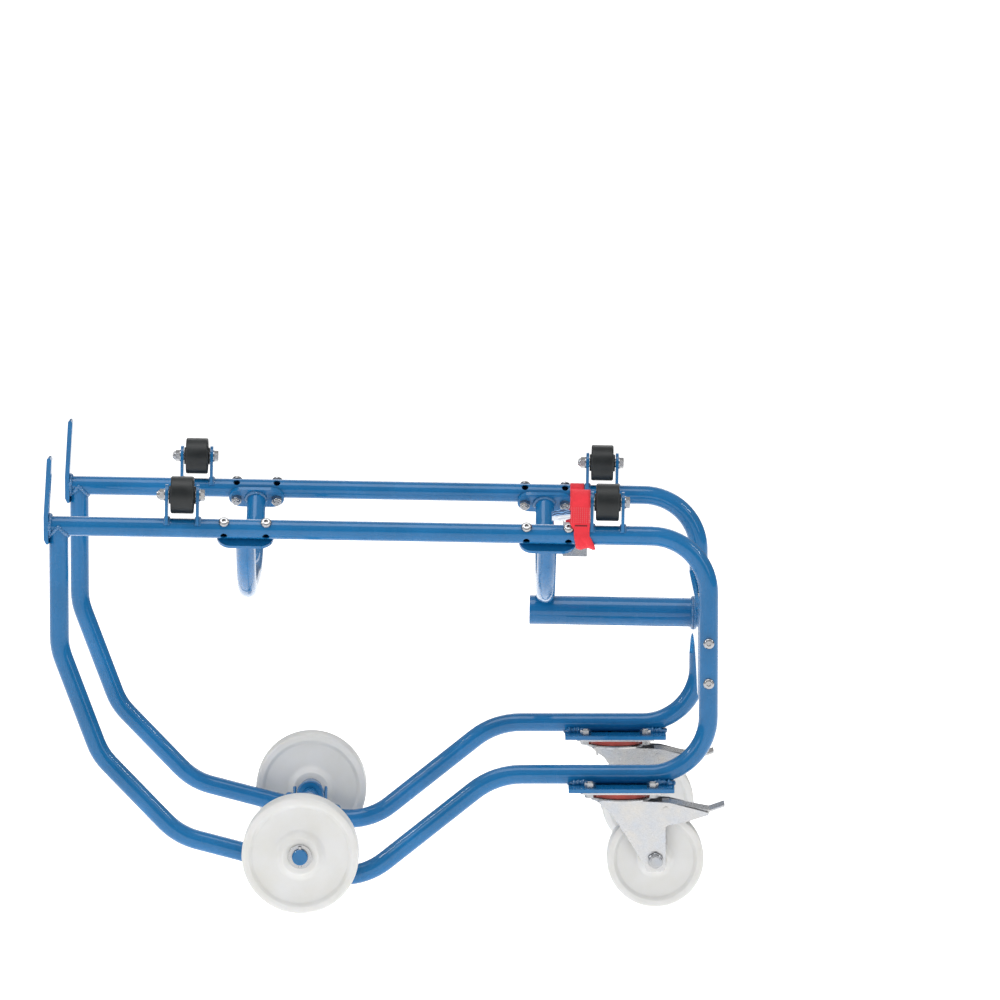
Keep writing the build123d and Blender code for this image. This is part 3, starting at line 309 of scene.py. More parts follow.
def webbing():
    """Red woven webbing: ribs across it, warp ends along it."""
    colour = tuple(bpy.context.scene.dolly_finish.strap)
    material, tree, shader = new_material("red_webbing", colour, 0.78)
    place = texture_space(tree, "UV")
    parts = node(tree, "SeparateXYZ")
    tree.links.new(place, parts.inputs["Vector"])
    pitch = bpy.context.scene.dolly_strap.rib
    along = math_value(tree, "SINE", math_value(tree, "MULTIPLY", parts.outputs["X"], tau / pitch))
    across = math_value(tree, "SINE",
                        math_value(tree, "MULTIPLY", parts.outputs["Y"], tau / (pitch * 0.75)))
    weave = math_value(tree, "MULTIPLY", along, across)
    ribs = math_value(tree, "ADD", math_value(tree, "MULTIPLY", along, 0.6),
                      math_value(tree, "MULTIPLY", weave, 0.4))
    fuzz = noise_value(tree, place, 900, 4, 0.7)
    fade = noise_value(tree, place, 60, 4, 0.6)
    # Painted shade and painted highlight: the colour goes dark in the ribs' grooves and pale on their crests,
    # following the ribs that also make the bump; the fade noise adds tone that differs at random.
    shade = math_value(tree, "ADD", span_value(tree, ribs, 0.3, 0.55),
                       math_value(tree, "MULTIPLY", fade, 0.35))
    dark = tuple(c * 0.62 for c in colour)
    pale = (min(1, colour[0] * 1.08), colour[1] + 0.02, colour[2] + 0.028)
    tone = ramp(tree, shade, [(0.28, dark), (0.55, colour), (0.85, pale)])
    tree.links.new(tone, shader.inputs["Base Color"])
    shader.inputs["Sheen Weight"].default_value = 0.08
    shader.inputs["Sheen Roughness"].default_value = 0.4
    height = math_value(tree, "ADD", ribs, math_value(tree, "MULTIPLY", fuzz, 0.5))
    relief(tree, shader, height, 0.0003, 0.8)
    return material


def thread():
    """Polyester sewing thread, a little paler than the webbing."""
    material, tree, shader = new_material("sewing_thread", (0.74, 0.12, 0.15), 0.6)
    twist = noise_value(tree, texture_space(tree, scale=(1, 1, 4)), 1800, 2)
    tone = ramp(tree, twist, [(0.3, (0.6, 0.07, 0.09)), (0.7, (0.86, 0.2, 0.22))])
    tree.links.new(tone, shader.inputs["Base Color"])
    relief(tree, shader, twist, 0.0001, 0.6)
    return material


def label_ribbon():
    """Satin ribbon, blue above and pale below, crossed by wavy bands."""
    material, tree, shader = new_material("label_ribbon", (0.8, 0.84, 0.9), 0.5)
    place = texture_space(tree, "UV")
    parts = node(tree, "SeparateXYZ")
    tree.links.new(place, parts.inputs["Vector"])
    sway = math_value(tree, "MULTIPLY", noise_value(tree, place, 160, 2), 0.006)
    height = math_value(tree, "ADD", parts.outputs["Y"], sway)
    bands = math_value(tree, "SINE", math_value(tree, "MULTIPLY", height, tau / 0.0034))
    blue = ramp(tree, bands, [(0.35, (0.02, 0.05, 0.13)), (0.6, (0.16, 0.36, 0.66))])
    pale = ramp(tree, bands, [(0.1, (0.55, 0.6, 0.68)), (0.5, (0.8, 0.84, 0.88))])
    cut = ramp(tree, math_value(tree, "MULTIPLY", parts.outputs["Y"], 1 / 0.015),
               [(0.48, (0, 0, 0)), (0.52, (1, 1, 1))])
    mix = node(tree, "Mix", data_type="RGBA")
    tree.links.new(cut, mix.inputs["Factor"])
    tree.links.new(pale, mix.inputs[6])
    tree.links.new(blue, mix.inputs[7])
    tree.links.new(mix.outputs[2], shader.inputs["Base Color"])
    shader.inputs["Sheen Weight"].default_value = 0.2
    relief(tree, shader, noise_value(tree, place, 1500, 2), 0.0001, 0.4)
    return material


def floor_sweep():
    """Studio floor: near white, barely clouded."""
    material, tree, shader = new_material("studio_floor", (0.93, 0.93, 0.93), 0.9)
    cloud = noise_value(tree, texture_space(tree), 0.7, 2)
    tone = ramp(tree, cloud, [(0.3, (0.93, 0.93, 0.93)), (0.7, (0.95, 0.95, 0.95))])
    tree.links.new(tone, shader.inputs["Base Color"])
    shader.inputs["Specular IOR Level"].default_value = 0.1
    shader.inputs["Emission Color"].default_value = (1, 1, 1, 1)
    shader.inputs["Emission Strength"].default_value = 0.76
    return material


MAKERS = {
    "blue_paint": painted_steel,
    "weld": weld_paint,
    "zinc": lambda: zinc_plate("zinc_plate", (0.5, 0.505, 0.515), 0.2, 0.36),
    "fastener": lambda: zinc_plate("zinc_fastener", (0.38, 0.385, 0.395), 0.16, 0.34),
    "bright": lambda: zinc_plate("ground_steel", (0.8, 0.8, 0.82), 0.08, 0.16, 0.0002),
    "main_polyamide": lambda: polyamide("main_wheel_polyamide", AXLE.x, AXLE.z),
    "castor_polyamide": lambda: polyamide("castor_wheel_polyamide", pivot("near_castor_wheel_spin").x,
                                          pivot("near_castor_wheel_spin").z),
    "black": moulded_black,
    "red": moulded_red,
    "webbing": webbing,
    "thread": thread,
    "label": label_ribbon,
    "floor": floor_sweep,
}
MADE = {}


def finish(name):
    """A material, made the first time that it is asked for."""
    if name not in MADE:
        MADE[name] = MAKERS[name]()
    return MADE[name]


# ---------------------------------------------------------------- mesh tools
def piece(name, mesh_data, material, body):
    """A finished piece from a bmesh, riding on a body."""
    mesh = bpy.data.meshes.new(name)
    mesh_data.to_mesh(mesh)
    mesh_data.free()
    return add_piece(name, mesh, material, body)


def add_piece(name, mesh, material, body):
    """A finished piece from a mesh, riding on a body."""
    made = bpy.data.objects.new(name, mesh)
    bpy.context.scene.collection.objects.link(made)
    mesh.materials.clear()
    mesh.materials.append(finish(material))
    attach(made, body)
    return made


def smooth(made, angle=35.0):
    """Smooth shading, with edges sharper than an angle kept sharp."""
    for face in made.data.polygons:
        face.use_smooth = True
    made.data.set_sharp_from_angle(angle=radians(angle))
    return made


def turned(profile, steps=96):
    """A turned solid from an open (radius, along) profile about the Y axis."""
    work = bmesh.new()
    points = [work.verts.new((r, y, 0)) for r, y in profile]
    edges = [work.edges.new(pair) for pair in zip(points, points[1:])]
    bmesh.ops.spin(work, geom=points + edges, cent=(0, 0, 0), axis=(0, 1, 0), angle=tau,
                   steps=steps, use_merge=True, use_duplicate=False)
    bmesh.ops.remove_doubles(work, verts=work.verts, dist=1e-6)
    bmesh.ops.recalc_face_normals(work, faces=work.faces)
    return work


def rounded(corners, steps=4):
    """A profile with each (r, y, radius) corner rounded by an arc."""
    out = []
    for i, (r, y, radius) in enumerate(corners):
        here = Vector((r, y))
        if radius <= 0 or i in (0, len(corners) - 1):
            out.append((r, y))
            continue
        before = (Vector(corners[i - 1][:2]) - here).normalized()
        after = (Vector(corners[i + 1][:2]) - here).normalized()
        half = acos(max(-1, min(1, before.dot(after)))) / 2
        reach = radius / max(0.05, abs(sin(half) / cos(half))) if half < pi / 2 - 0.01 else 0
        start, end = here + before * reach, here + after * reach
        for step in range(steps + 1):
            t = step / steps
            out.append(tuple(start * (1 - t) ** 2 + here * 2 * t * (1 - t) + end * t ** 2))
    return out


def tube_along(points, radii, sides=8):
    """A mesh tube along points, with a radius at each one."""
    curve = bpy.data.curves.new("bead", "CURVE")
    curve.dimensions = "3D"
    curve.bevel_depth = 1.0
    curve.bevel_resolution = max(0, sides // 2 - 2)
    curve.use_fill_caps = True
    line = curve.splines.new("POLY")
    line.points.add(len(points) - 1)
    for target, place, radius in zip(line.points, points, radii):
        target.co = (*place, 1)
        target.radius = radius
    holder = bpy.data.objects.new("bead", curve)
    bpy.context.scene.collection.objects.link(holder)
    bpy.context.view_layer.update()
    mesh = bpy.data.meshes.new_from_object(holder.evaluated_get(bpy.context.evaluated_depsgraph_get()))
    bpy.data.objects.remove(holder)
    bpy.data.curves.remove(curve)
    return mesh


def even(points, pitch):
    """Points at an even pitch along a line of points."""
    points = [Vector(p) for p in points]
    lengths = [0.0]
    for a, b in zip(points, points[1:]):
        lengths.append(lengths[-1] + (b - a).length)
    count = max(2, ceil(lengths[-1] / pitch))
    out, i = [], 0
    for step in range(count + 1):
        want = lengths[-1] * step / count
        while i < len(lengths) - 2 and lengths[i + 1] < want:
            i += 1
        run = lengths[i + 1] - lengths[i]
        t = (want - lengths[i]) / run if run > 1e-12 else 0
        out.append(points[i].lerp(points[i + 1], t))
    return out


def weld(work, line, radius, seed, lumpy=0.16, ripple_pitch=0.0024):
    """One weld bead along a line: overlapping ripples of uneven size."""
    pitch = 0.0006
    places = even(line, pitch)
    radii = []
    for i, place in enumerate(places):
        ripple = 0.5 + 0.5 * cos(i * pitch / ripple_pitch * tau)
        wobble = noise.noise(Vector((i * pitch * 150, seed, 0)))
        taper = min(1.0, (min(i, len(places) - 1 - i) * pitch + 0.0012) / (radius * 1.1)) ** 0.5
        radii.append(radius * (0.92 - lumpy / 2 + lumpy * ripple + 2 * lumpy * wobble) * taper)
        places[i] = place + noise.noise_vector(Vector((i * pitch * 120, seed, 7))) * radius * lumpy
    mesh = tube_along(places, radii, 10)
    work.from_mesh(mesh)
    bpy.data.meshes.remove(mesh)


# ---------------------------------------------------------------- properties
class DollyFinish(PropertyGroup):
    paint: FloatVectorProperty(name="Paint", description="Colour of the powder coat", subtype="COLOR",
                               default=(0.004, 0.125, 0.315), min=0, max=1)
    wheel: FloatVectorProperty(name="Wheels", description="Colour of the polyamide wheels", subtype="COLOR",
                               default=(0.65, 0.65, 0.645), min=0, max=1)
    strap: FloatVectorProperty(name="Strap", description="Colour of the webbing", subtype="COLOR",
                               default=(0.86, 0.026, 0.045), min=0, max=1)


class DollyWheels(PropertyGroup):
    rim: FloatProperty(name="Rim", description="Depth of the rim's step", default=0.009, min=0.002,
                       unit="LENGTH")
    dish: FloatProperty(name="Dish", description="How far the web is set in from the rim's face",
                        default=0.0042, min=0, unit="LENGTH")
    hub_round: FloatProperty(name="Hub rounding", description="Radius between the hub and the web",
                             default=0.014, min=0.001, unit="LENGTH")
    steps: IntProperty(name="Steps", description="Segments round a wheel", default=128, min=24)


class DollyStrap(PropertyGroup):
    width: FloatProperty(name="Width", description="Width of the webbing", default=0.025, min=0.01,
                         unit="LENGTH")
    thickness: FloatProperty(name="Thickness", description="Thickness of the webbing", default=0.0014,
                             min=0.0005, unit="LENGTH")
    tab: FloatProperty(name="Sewn stretch", description="Length of the doubled, sewn stretch",
                       default=0.026, min=0.01, unit="LENGTH")
    rib: FloatProperty(name="Rib", description="Pitch of the weave's ribs", default=0.0013, min=0.0004,
                       unit="LENGTH")


class DollyWelds(PropertyGroup):
    bead: FloatProperty(name="Bead", description="Radius of a weld bead", default=0.0027, min=0.0005,
                        unit="LENGTH")


# ------------------------------------------------------------ carried pieces
NODE_FINISHES = (
    ("blue_paint", ("side_frame", "toe_claw", "roller_ears", "cross_tube", "cross_tube_flanges",
                    "lever_socket", "rear_cross_plate", "axle_bosses", "axle_brackets", "main_axle",
                    "castor_mount_plate")),
    ("black", ("drum_roller",)),
    ("main_polyamide", ("main_wheel",)),
    ("castor_polyamide", ("castor_wheel",)),
    ("red", ("castor_seal_rings",)),
    ("bright", ("castor_balls",)),
    ("fastener", ("bolts", "nuts", "washers", "screws", "bolt", "pins")),
    ("webbing", ("tension_strap", "buckle_strap")),
    ("label", ("strap_label",)),
)


class DOLLY_OT_carried(Operator):
    """Give every carried-over node the finish of its real part"""
    bl_idname = "dolly.carried"
    bl_label = "Carried nodes"

    def execute(self, context):
        for name, shape in frame["nodes"].items():
            kind = "zinc"
            for finish_name, ends in NODE_FINISHES:
                if name.endswith(ends):
                    kind = finish_name
            shape.data.materials.clear()
            shape.data.materials.append(finish(kind))
        return {"FINISHED"}


# -------------------------------------------------------------------- wheels
def wheel_profile(outer, tread, hub_r, hub_w, bore, settings):
    """Closed half profile of a wheel, from bore to bore over the tread."""
    rim = outer - settings.rim
    half = tread / 2
    web = half - settings.dish
    side = [
        (bore, hub_w / 2, 0),
        (hub_r - 0.0015, hub_w / 2, 0.003),
        (hub_r + 0.005, web - 0.0006, settings.hub_round * 0.5),
        (rim - 0.004, web, 0.0028),
        (rim, half, 0.0028),
        (outer, half, 0.0035),
    ]
    mirrored = [(r, -y, radius) for r, y, radius in reversed(side)]
    return rounded([(bore, 0, 0), *side, *mirrored, (bore, 0, 0)])


class DOLLY_OT_wheels(Operator):
    """Turn the load wheels and the castor wheels"""
    bl_idname = "dolly.wheels"
    bl_label = "Wheels"

    def execute(self, context):
        settings = context.scene.dolly_wheels
        kinds = (("main_wheel", 0.0251, "main_axle", "main_polyamide"),
                 ("castor_wheel", 0.0171, "near_castor_sleeve", "castor_polyamide"))
        for kind, hub_r, shaft, material in kinds:
            for side, _ in SIDES:
                name = f"{side}_{kind}"
                centre = pivot(name + "_spin")
                outer = span(name, 2) / 2
                bore = span(shaft, 2) / 2 + 0.05 * MM
                hub_w = span(name, 1)
                tread = 0.046 if kind == "main_wheel" else 0.038
                work = turned(wheel_profile(outer, tread, hub_r, hub_w, bore, settings), settings.steps)
                bmesh.ops.translate(work, verts=work.verts, vec=centre)
                made = smooth(piece(name + "_turned", work, material, name), 28)
                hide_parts(name)
        return {"FINISHED"}


# --------------------------------------------------------------------- welds
def circle(matrix, radius, start=0.0, turn=tau, rise=None):
    """Points round an axis: angle 0 on the matrix's Y, rising along its X."""
    steps = 48
    out = []
    for i in range(steps + 1):
        angle = start + turn * i / steps
        along = rise(angle) if rise else 0.0
        out.append(matrix @ Vector((along, radius * cos(angle), radius * sin(angle))))
    return out


def along_y(place):
    """Matrix whose X axis is the row frame's Y axis."""
    return Matrix.Translation(place) @ Matrix(((0, 1, 0), (1, 0, 0), (0, 0, 1))).to_4x4()


def near_welds(work, bead):
    """Beads of everything that is welded on the near side."""
    claw_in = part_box("near_toe_claw")[0].x + 0.006
    left_x = claw_in + TUBE_R
    weld(work, circle(rail_frame(claw_in + 0.001), TUBE_R + 0.0004), bead * 1.15, 1, 0.2, 0.004)
    top = rail_point(left_x)
    stub = [top + Vector((TUBE_R * cos(a), TUBE_R * sin(a), -TUBE_R * abs(cos(a)) - 0.0006))
            for a in (i / 60 * tau for i in range(61))]
    weld(work, stub, bead * 1.05, 2, 0.22, 0.004)
    for end in ENDS:
        ears = f"near_{end}_roller_ears"
        low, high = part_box(ears)
        for i, x in enumerate((low.x + 0.0002, low.x + 0.0045, high.x - 0.0045, high.x - 0.0002)):
            arc = circle(rail_frame(x), TUBE_R + 0.0003, radians(20), radians(140))
            weld(work, arc, bead * 0.75, 3 + i)
    for seed, x in enumerate(CROSS_X):
        at = rail_frame(x)
        inward = Vector((0, sin(radians(45)), -cos(radians(45))))
        centre = inward * (TUBE_R + FLANGE_FACE)
        side = Vector((0, cos(radians(45)), sin(radians(45))))
        ring = [at @ (centre + Vector((1, 0, 0)) * TUBE_R * cos(a) + side * TUBE_R * sin(a))
                for a in (i / 60 * tau for i in range(61))]
        weld(work, ring, bead * 1.2, 11 + seed, 0.18)
    boss = Vector((AXLE.x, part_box("axle_brackets")[0].y, AXLE.z))
    inner_y = -RAIL_Y + TUBE_R + FLANGE_FACE
    weld(work, circle(along_y(Vector((boss.x, inner_y, boss.z))), 0.0162), bead * 0.9, 21)
    mount_low, mount_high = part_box("near_castor_mount_plate")
    top = mount_high.z + 0.0022
    for i, (start, way) in enumerate(((mount_low.x + 0.002, 1), (mount_high.x - 0.002, -1))):
        for side in (-1, 1):
            y = -RAIL_Y + side * (TUBE_R * 0.72)
            line = [Vector((start, y, top)), Vector((start + way * 0.014, y + side * 0.0006, top + 0.0007)),
                    Vector((start + way * 0.027, y, top))]
            weld(work, line, bead * 1.8, 31 + 2 * i + side, 0.3, 0.0056)
        end_x = start - way * 0.0012
        line = [Vector((end_x, -RAIL_Y + way_y * TUBE_R * 0.66, top - 0.001)) for way_y in (-1, 1)]
        weld(work, line, bead * 1.1, 41 + i, 0.2)
    for i, way in enumerate((-1, 1)):
        x = boss.x + way * 0.021
        line = [Vector((x, inner_y - 0.002, boss.z - 0.008)), Vector((x, inner_y - 0.002, boss.z + 0.01))]
        weld(work, line, bead * 0.9, 51 + i, 0.2)


class DOLLY_OT_welds(Operator):
    """Lay the weld beads where the real parts are welded"""
    bl_idname = "dolly.welds"
    bl_label = "Weld beads"

    def execute(self, context):
        bead = context.scene.dolly_welds.bead
        noise.seed_set(WELD_SEED)
        for side, _ in SIDES:
            work = bmesh.new()
            near_welds(work, bead)
            if side == "far":
                bmesh.ops.scale(work, verts=work.verts, vec=(1, -1, 1))
                bmesh.ops.reverse_faces(work, faces=work.faces)
            smooth(piece(side + "_weld_beads", work, "weld", "frame"), 60)
        work = bmesh.new()
        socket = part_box("lever_socket")
        plate_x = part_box("rear_cross_plate")[0].x
        socket_r = span("lever_socket", 1) / 2
        at = socket_point(plate_x - 0.0006)
        weld(work, circle(at, socket_r + 0.0003), bead, 51)
        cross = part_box("rear_cross_tube")[0].z
        for way in (-1, 1):
            line = [Vector((CROSS_X[1] + way * 0.0066, y, cross + 0.0014)) for y in (-0.011, 0.011)]
            weld(work, line, bead * 1.3, 61 + way)
        smooth(piece("middle_weld_beads", work, "weld", "frame"), 60)
        return {"FINISHED"}


def socket_point(x):
    """Matrix at the lever socket's axis, turned as the rails are."""
    mount = next(m for m in RECORD["mounts"] if m["name"] == "lever_socket")
    place = Vector(mount["pos_m"])
    place = place + RAIL_DIRECTION * ((x - place.x) / RAIL_DIRECTION.x)
    turn = Matrix((RAIL_DIRECTION, Vector((0, 1, 0)), RAIL_DIRECTION.cross(Vector((0, 1, 0))))).transposed()
    return Matrix.Translation(place) @ turn.to_4x4()


# --------------------------------------------------------------------- strap
def arc(centre, radius, start, turn, steps=24):
    """Points of an arc in the (across, above) plane."""
    angles = [start + turn * i / steps for i in range(steps + 1)]
    return [(centre[0] + radius * cos(angle), centre[1] + radius * sin(angle)) for angle in angles]


def loop_line(ply):
    """The webbing's way round the rail, slack below it."""
    inner = TUBE_R + WEBBING_GAP + ply / 2
    out = []
    steps = 72
    for i in range(steps + 1):
        angle = pi * 0.88 - (tau * 0.965) * i / steps
        slack = 0.0056 * max(0.0, -sin(angle)) ** 2
        r = inner + slack
        out.append((r * cos(angle), r * sin(angle)))
    return out


def strap_line(settings):
    """Centreline of the tension strap in the rail's (across, above) plane."""
    ply = settings.thickness
    base = TUBE_R + SEAM_START
    top = base + settings.tab
    sewn = -(TUBE_R + WEBBING_GAP + ply)
    inner = [(sewn + ply / 2 + 0.0001, top), (sewn + ply / 2 + 0.0001, base)]
    loop = [p for p in loop_line(ply) if p[1] < base * 0.92 or p[0] > -TUBE_R * 0.6]
    roller = pivot("near_rear_drum_roller_spin")
    rise = (rail_frame(roller.x).inverted() @ roller).z
    turn_r = -sewn + ply / 2
    roll_y, roll_z = ROLL_PLACE
    roll_r = ROLL_RADIUS - ply / 2
    reach = hypot(roll_y, roll_z - rise)
    lean = atan2(roll_z - rise, roll_y) + acos((turn_r - roll_r) / reach)
    outer = [(-turn_r, base), (-turn_r, rise)]
    turn = arc((0, rise), turn_r, pi, lean - pi)
    roll = []
    pitch = ply + 0.00016
    steps = int(ROLL_TURNS * 40)
    for i in range(steps + 1):
        angle = i / 40 * tau
        r = roll_r - pitch * angle / tau
        roll.append((roll_y + r * cos(lean - angle), roll_z + r * sin(lean - angle)))
    return inner, loop, outer, turn, roll


def ribbon(line, width, centre_x, work, uv_start=0.0, across=8, wave=None):
    """Webbing along an (across, above) line, with its UV map in metres."""
    points = even([(0, y, z) for y, z in line], 0.0013)
    run = sum((b - a).length for a, b in zip(points, points[1:]))
    count = len(points) - 1
    made = bmesh.ops.create_grid(work, x_segments=count, y_segments=across, size=0.5)
    layer = work.loops.layers.uv.verify()
    shares = {}
    for vert in made["verts"]:
        shares[vert] = (vert.co.x + 0.5, vert.co.y + 0.5)
    for face in {f for v in made["verts"] for f in v.link_faces}:
        for corner in face.loops:
            u, v = shares[corner.vert]
            corner[layer].uv = (uv_start + u * run, v * width)
    for vert, (u, v) in shares.items():
        i = min(count - 1, int(u * count))
        t = u * count - i
        place = points[i].lerp(points[i + 1], t)
        shift, share, proud = wave(place, u * run, v) if wave else (0, 1, 0)
        ahead, behind = points[min(count, i + 1)], points[max(0, i - 1)]
        tangent = (ahead - behind).normalized()
        normal = Vector((0, -tangent.z, tangent.y))
        vert.co = Vector((centre_x + shift + (v - 0.5) * width * share, place.y, place.z)) + normal * proud
    return run


def joined(parts):
    """One line from several."""
    out = []
    for part in parts:
        for point in part:
            if not out or hypot(point[0] - out[-1][0], point[1] - out[-1][1]) > 1e-5:
                out.append(point)
    return out


def strap_wave(place, along, share):
    """How the webbing bunches, slants and rumples where it rounds the rail."""
    reach = hypot(place.y, place.z)
    if reach > TUBE_R * 1.62 or place.z > TUBE_R + 0.0016:
        return 0.0, 1.0, 0.0002 * noise.noise(Vector((share * 6, along * 90, 3)))
    low = max(0.0, -place.z / reach)
    settle = min(1.0, max(0.0, (TUBE_R + 0.0016 - place.z) / 0.006))
    bunch = 1 - settle * (0.2 - 0.2 * low)
    shift = settle * (0.0022 + 0.0056 * low)
    zigzag = abs((share * 3.2 + 0.2) % 2 - 1)
    rumple = settle * 0.0034 * low * zigzag + 0.0005 * settle * sin(share * 15 + along * 220)
    return shift, bunch, -abs(rumple) - 0.0003 * noise.noise(Vector((share * 8, along * 150, 1)))


def stitches(work, rows, low, high, y):
    """Rows of short stitches lying on the sewn stretch's face."""
    pitch = 0.0026
    count = int((high - low) / pitch)
    for x in rows:
        for i in range(count):
            z = low + (i + 0.5) * pitch
            made = bmesh.ops.create_cone(work, cap_ends=True, segments=6, radius1=0.00034, radius2=0.00034,
                                         depth=pitch * 0.72)
            bmesh.ops.translate(work, verts=made["verts"], vec=(x, y, z))


class DOLLY_OT_strap(Operator):
    """Sew the tension strap round the near rail and roll up its free end"""
    bl_idname = "dolly.strap"
    bl_label = "Tension strap"

    def execute(self, context):
        settings = context.scene.dolly_strap
        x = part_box("tension_strap")[0].x + settings.width / 2
        place = rail_frame(x)
        line = joined(strap_line(settings))
        work = bmesh.new()
        run = ribbon(line, settings.width, 0.0, work, wave=strap_wave)
        work.transform(place)
        bmesh.ops.recalc_face_normals(work, faces=work.faces)
        made = smooth(piece("tension_strap_webbing", work, "webbing", "frame"), 60)
        solid = made.modifiers.new("thickness", "SOLIDIFY")
        solid.thickness = settings.thickness
        solid.offset = 0
        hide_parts("tension_strap")
        base = TUBE_R + SEAM_START
        sewn = -(TUBE_R + WEBBING_GAP + settings.thickness)
        threads = bmesh.new()
        rows = [(i / 8 - 0.5) * (settings.width - 0.003) for i in range(9)]
        for way in (-1, 1):
            stitches(threads, rows, base + 0.002, base + settings.tab - 0.001,
                     sewn + way * (settings.thickness + 0.0003))
        threads.transform(place)
        sewing = piece("tension_strap_stitching", threads, "thread", "frame")
        # Painted shadow: a row of six black lumps stands for the shade in the mouth of the strap's loop, just
        # below the sewn stretch; they are not stitching.
        loop_shadow_work = bmesh.new()
        for i in range(6):
            shadow_lump = bmesh.ops.create_cone(loop_shadow_work, cap_ends=True, segments=8, radius1=0.0007, radius2=0.0007,
                                           depth=0.0022, matrix=Matrix.Rotation(pi / 2, 4, "Y"))
            offset = ((i - 2.5) * 0.0027 + 0.0012, sewn - settings.thickness - 0.0004, base - 0.0012)
            bmesh.ops.translate(loop_shadow_work, verts=shadow_lump["verts"], vec=offset)
        loop_shadow_work.transform(place)
        loop_shadow_piece = piece("tension_strap_loop_shadow", loop_shadow_work, "black", "frame")
        return {"FINISHED"}


class DOLLY_OT_label(Operator):
    """Hang the sewn-in label out beside the strap"""
    bl_idname = "dolly.label"
    bl_label = "Strap label"

    def execute(self, context):
        low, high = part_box("strap_label")
        length, width = high.x - low.x, LABEL_WIDTH
        work = bmesh.new()
        bmesh.ops.create_grid(work, x_segments=28, y_segments=14, size=0.5)
        layer = work.loops.layers.uv.verify()
        for face in work.faces:
            for corner in face.loops:
                corner[layer].uv = ((corner.vert.co.x + 0.5) * length, (corner.vert.co.y + 0.5) * width)
        middle_z = (low.z + high.z) / 2
        for vert in work.verts:
            u, v = vert.co.x + 0.5, vert.co.y
            leaf = 0.42 + 0.58 * sin(pi * min(1, 0.12 + 0.8 * u)) ** 0.6
            curl = 0.0035 * (1 - u) ** 2 + 0.0008 * sin(u * 7 + v * 3)
            vert.co = Vector((low.x + u * length, (low.y + high.y) / 2 - curl,
                              middle_z + v * width * leaf - 0.002 * (1 - u)))
        made = smooth(piece("strap_label_ribbon", work, "label", "frame"), 60)
        solid = made.modifiers.new("thickness", "SOLIDIFY")
        solid.thickness = 0.0004
        solid.offset = 0
        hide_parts("strap_label")
        return {"FINISHED"}


class DOLLY_OT_buckle_strap(Operator):
    """Sew the short strap round the far rail"""
    bl_idname = "dolly.buckle_strap"
    bl_label = "Buckle strap"

    def execute(self, context):
        settings = context.scene.dolly_strap
        low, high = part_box("buckle_strap")
        x = low.x + settings.width / 2
        ply = settings.thickness
        base = TUBE_R + SEAM_START
        sewn = -(TUBE_R + WEBBING_GAP + ply)
        foot = base + settings.tab
        inner = [(sewn + ply / 2 + 0.0001, foot), (sewn + ply / 2 + 0.0001, base)]
        outer = [(sewn - ply / 2 - 0.0001, base), (sewn - ply / 2 - 0.0001, foot)]
        r = TUBE_R + WEBBING_GAP + ply / 2
        loop = arc((0, 0), r, pi * 0.88, -tau * 0.955, 72)
        loop = [p for p in loop if p[1] < base * 0.92 or p[0] > -TUBE_R * 0.6]
        work = bmesh.new()
        run = ribbon(joined((inner, loop, outer)), settings.width, 0.0, work, wave=buckle_wave)
        bmesh.ops.scale(work, verts=work.verts, vec=(1, -1, -1))
        far = Matrix.Translation((0, 2 * RAIL_Y, 0)) @ rail_frame(x)
        work.transform(far)
        bmesh.ops.recalc_face_normals(work, faces=work.faces)
        made = smooth(piece("buckle_strap_webbing", work, "webbing", "frame"), 60)
        solid = made.modifiers.new("thickness", "SOLIDIFY")
        solid.thickness = ply
        solid.offset = 0
        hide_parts("buckle_strap")
        threads = bmesh.new()
        rows = [(i / 8 - 0.5) * (settings.width - 0.003) for i in range(9)]
        for way in (-1, 1):
            stitches(threads, rows, base + 0.002, foot - 0.001, sewn + way * (ply + 0.0003))
        bmesh.ops.scale(threads, verts=threads.verts, vec=(1, -1, -1))
        threads.transform(far)
        sewing = piece("buckle_strap_stitching", threads, "thread", "frame")
        return {"FINISHED"}


def buckle_wave(place, along, share):
    """The far loop bunches where it passes between the flange and the ear."""
    settle = min(1.0, max(0.0, (TUBE_R + 0.0016 - place.z) / 0.006))
    return settle * 0.0022, 1 - settle * 0.25, 0.0002 * noise.noise(Vector((share * 6, along * 90, 3)))


# --------------------------------------------------------------------- stage
def area_light(name, place, target, size, size_y, power):
    """A soft box that faces a target."""
    light = bpy.data.lights.new(name, "AREA")
    light.shape = "RECTANGLE"
    light.size = size
    light.size_y = size_y
    light.energy = power
    holder = bpy.data.objects.new(name, light)
    bpy.context.scene.collection.objects.link(holder)
    holder.location = place
    holder.rotation_euler = (Vector(target) - Vector(place)).to_track_quat("-Z", "Y").to_euler()
    return holder


def studio_world():
    """White studio air, darker at eye level than overhead and below."""
    world = bpy.data.worlds.new("studio")
    world.use_nodes = True
    tree = world.node_tree
    parts = node(tree, "SeparateXYZ")
    tree.links.new(node(tree, "TexCoord").outputs["Generated"], parts.inputs["Vector"])
    level = math_value(tree, "ABSOLUTE", parts.outputs["Z"])
    shade = ramp(tree, level, [(0.05, (0.16, 0.16, 0.165)), (0.6, (0.56, 0.56, 0.56))])
    tree.links.new(shade, tree.nodes["Background"].inputs["Color"])
    tree.nodes["Background"].inputs["Strength"].default_value = 1.0
    return world


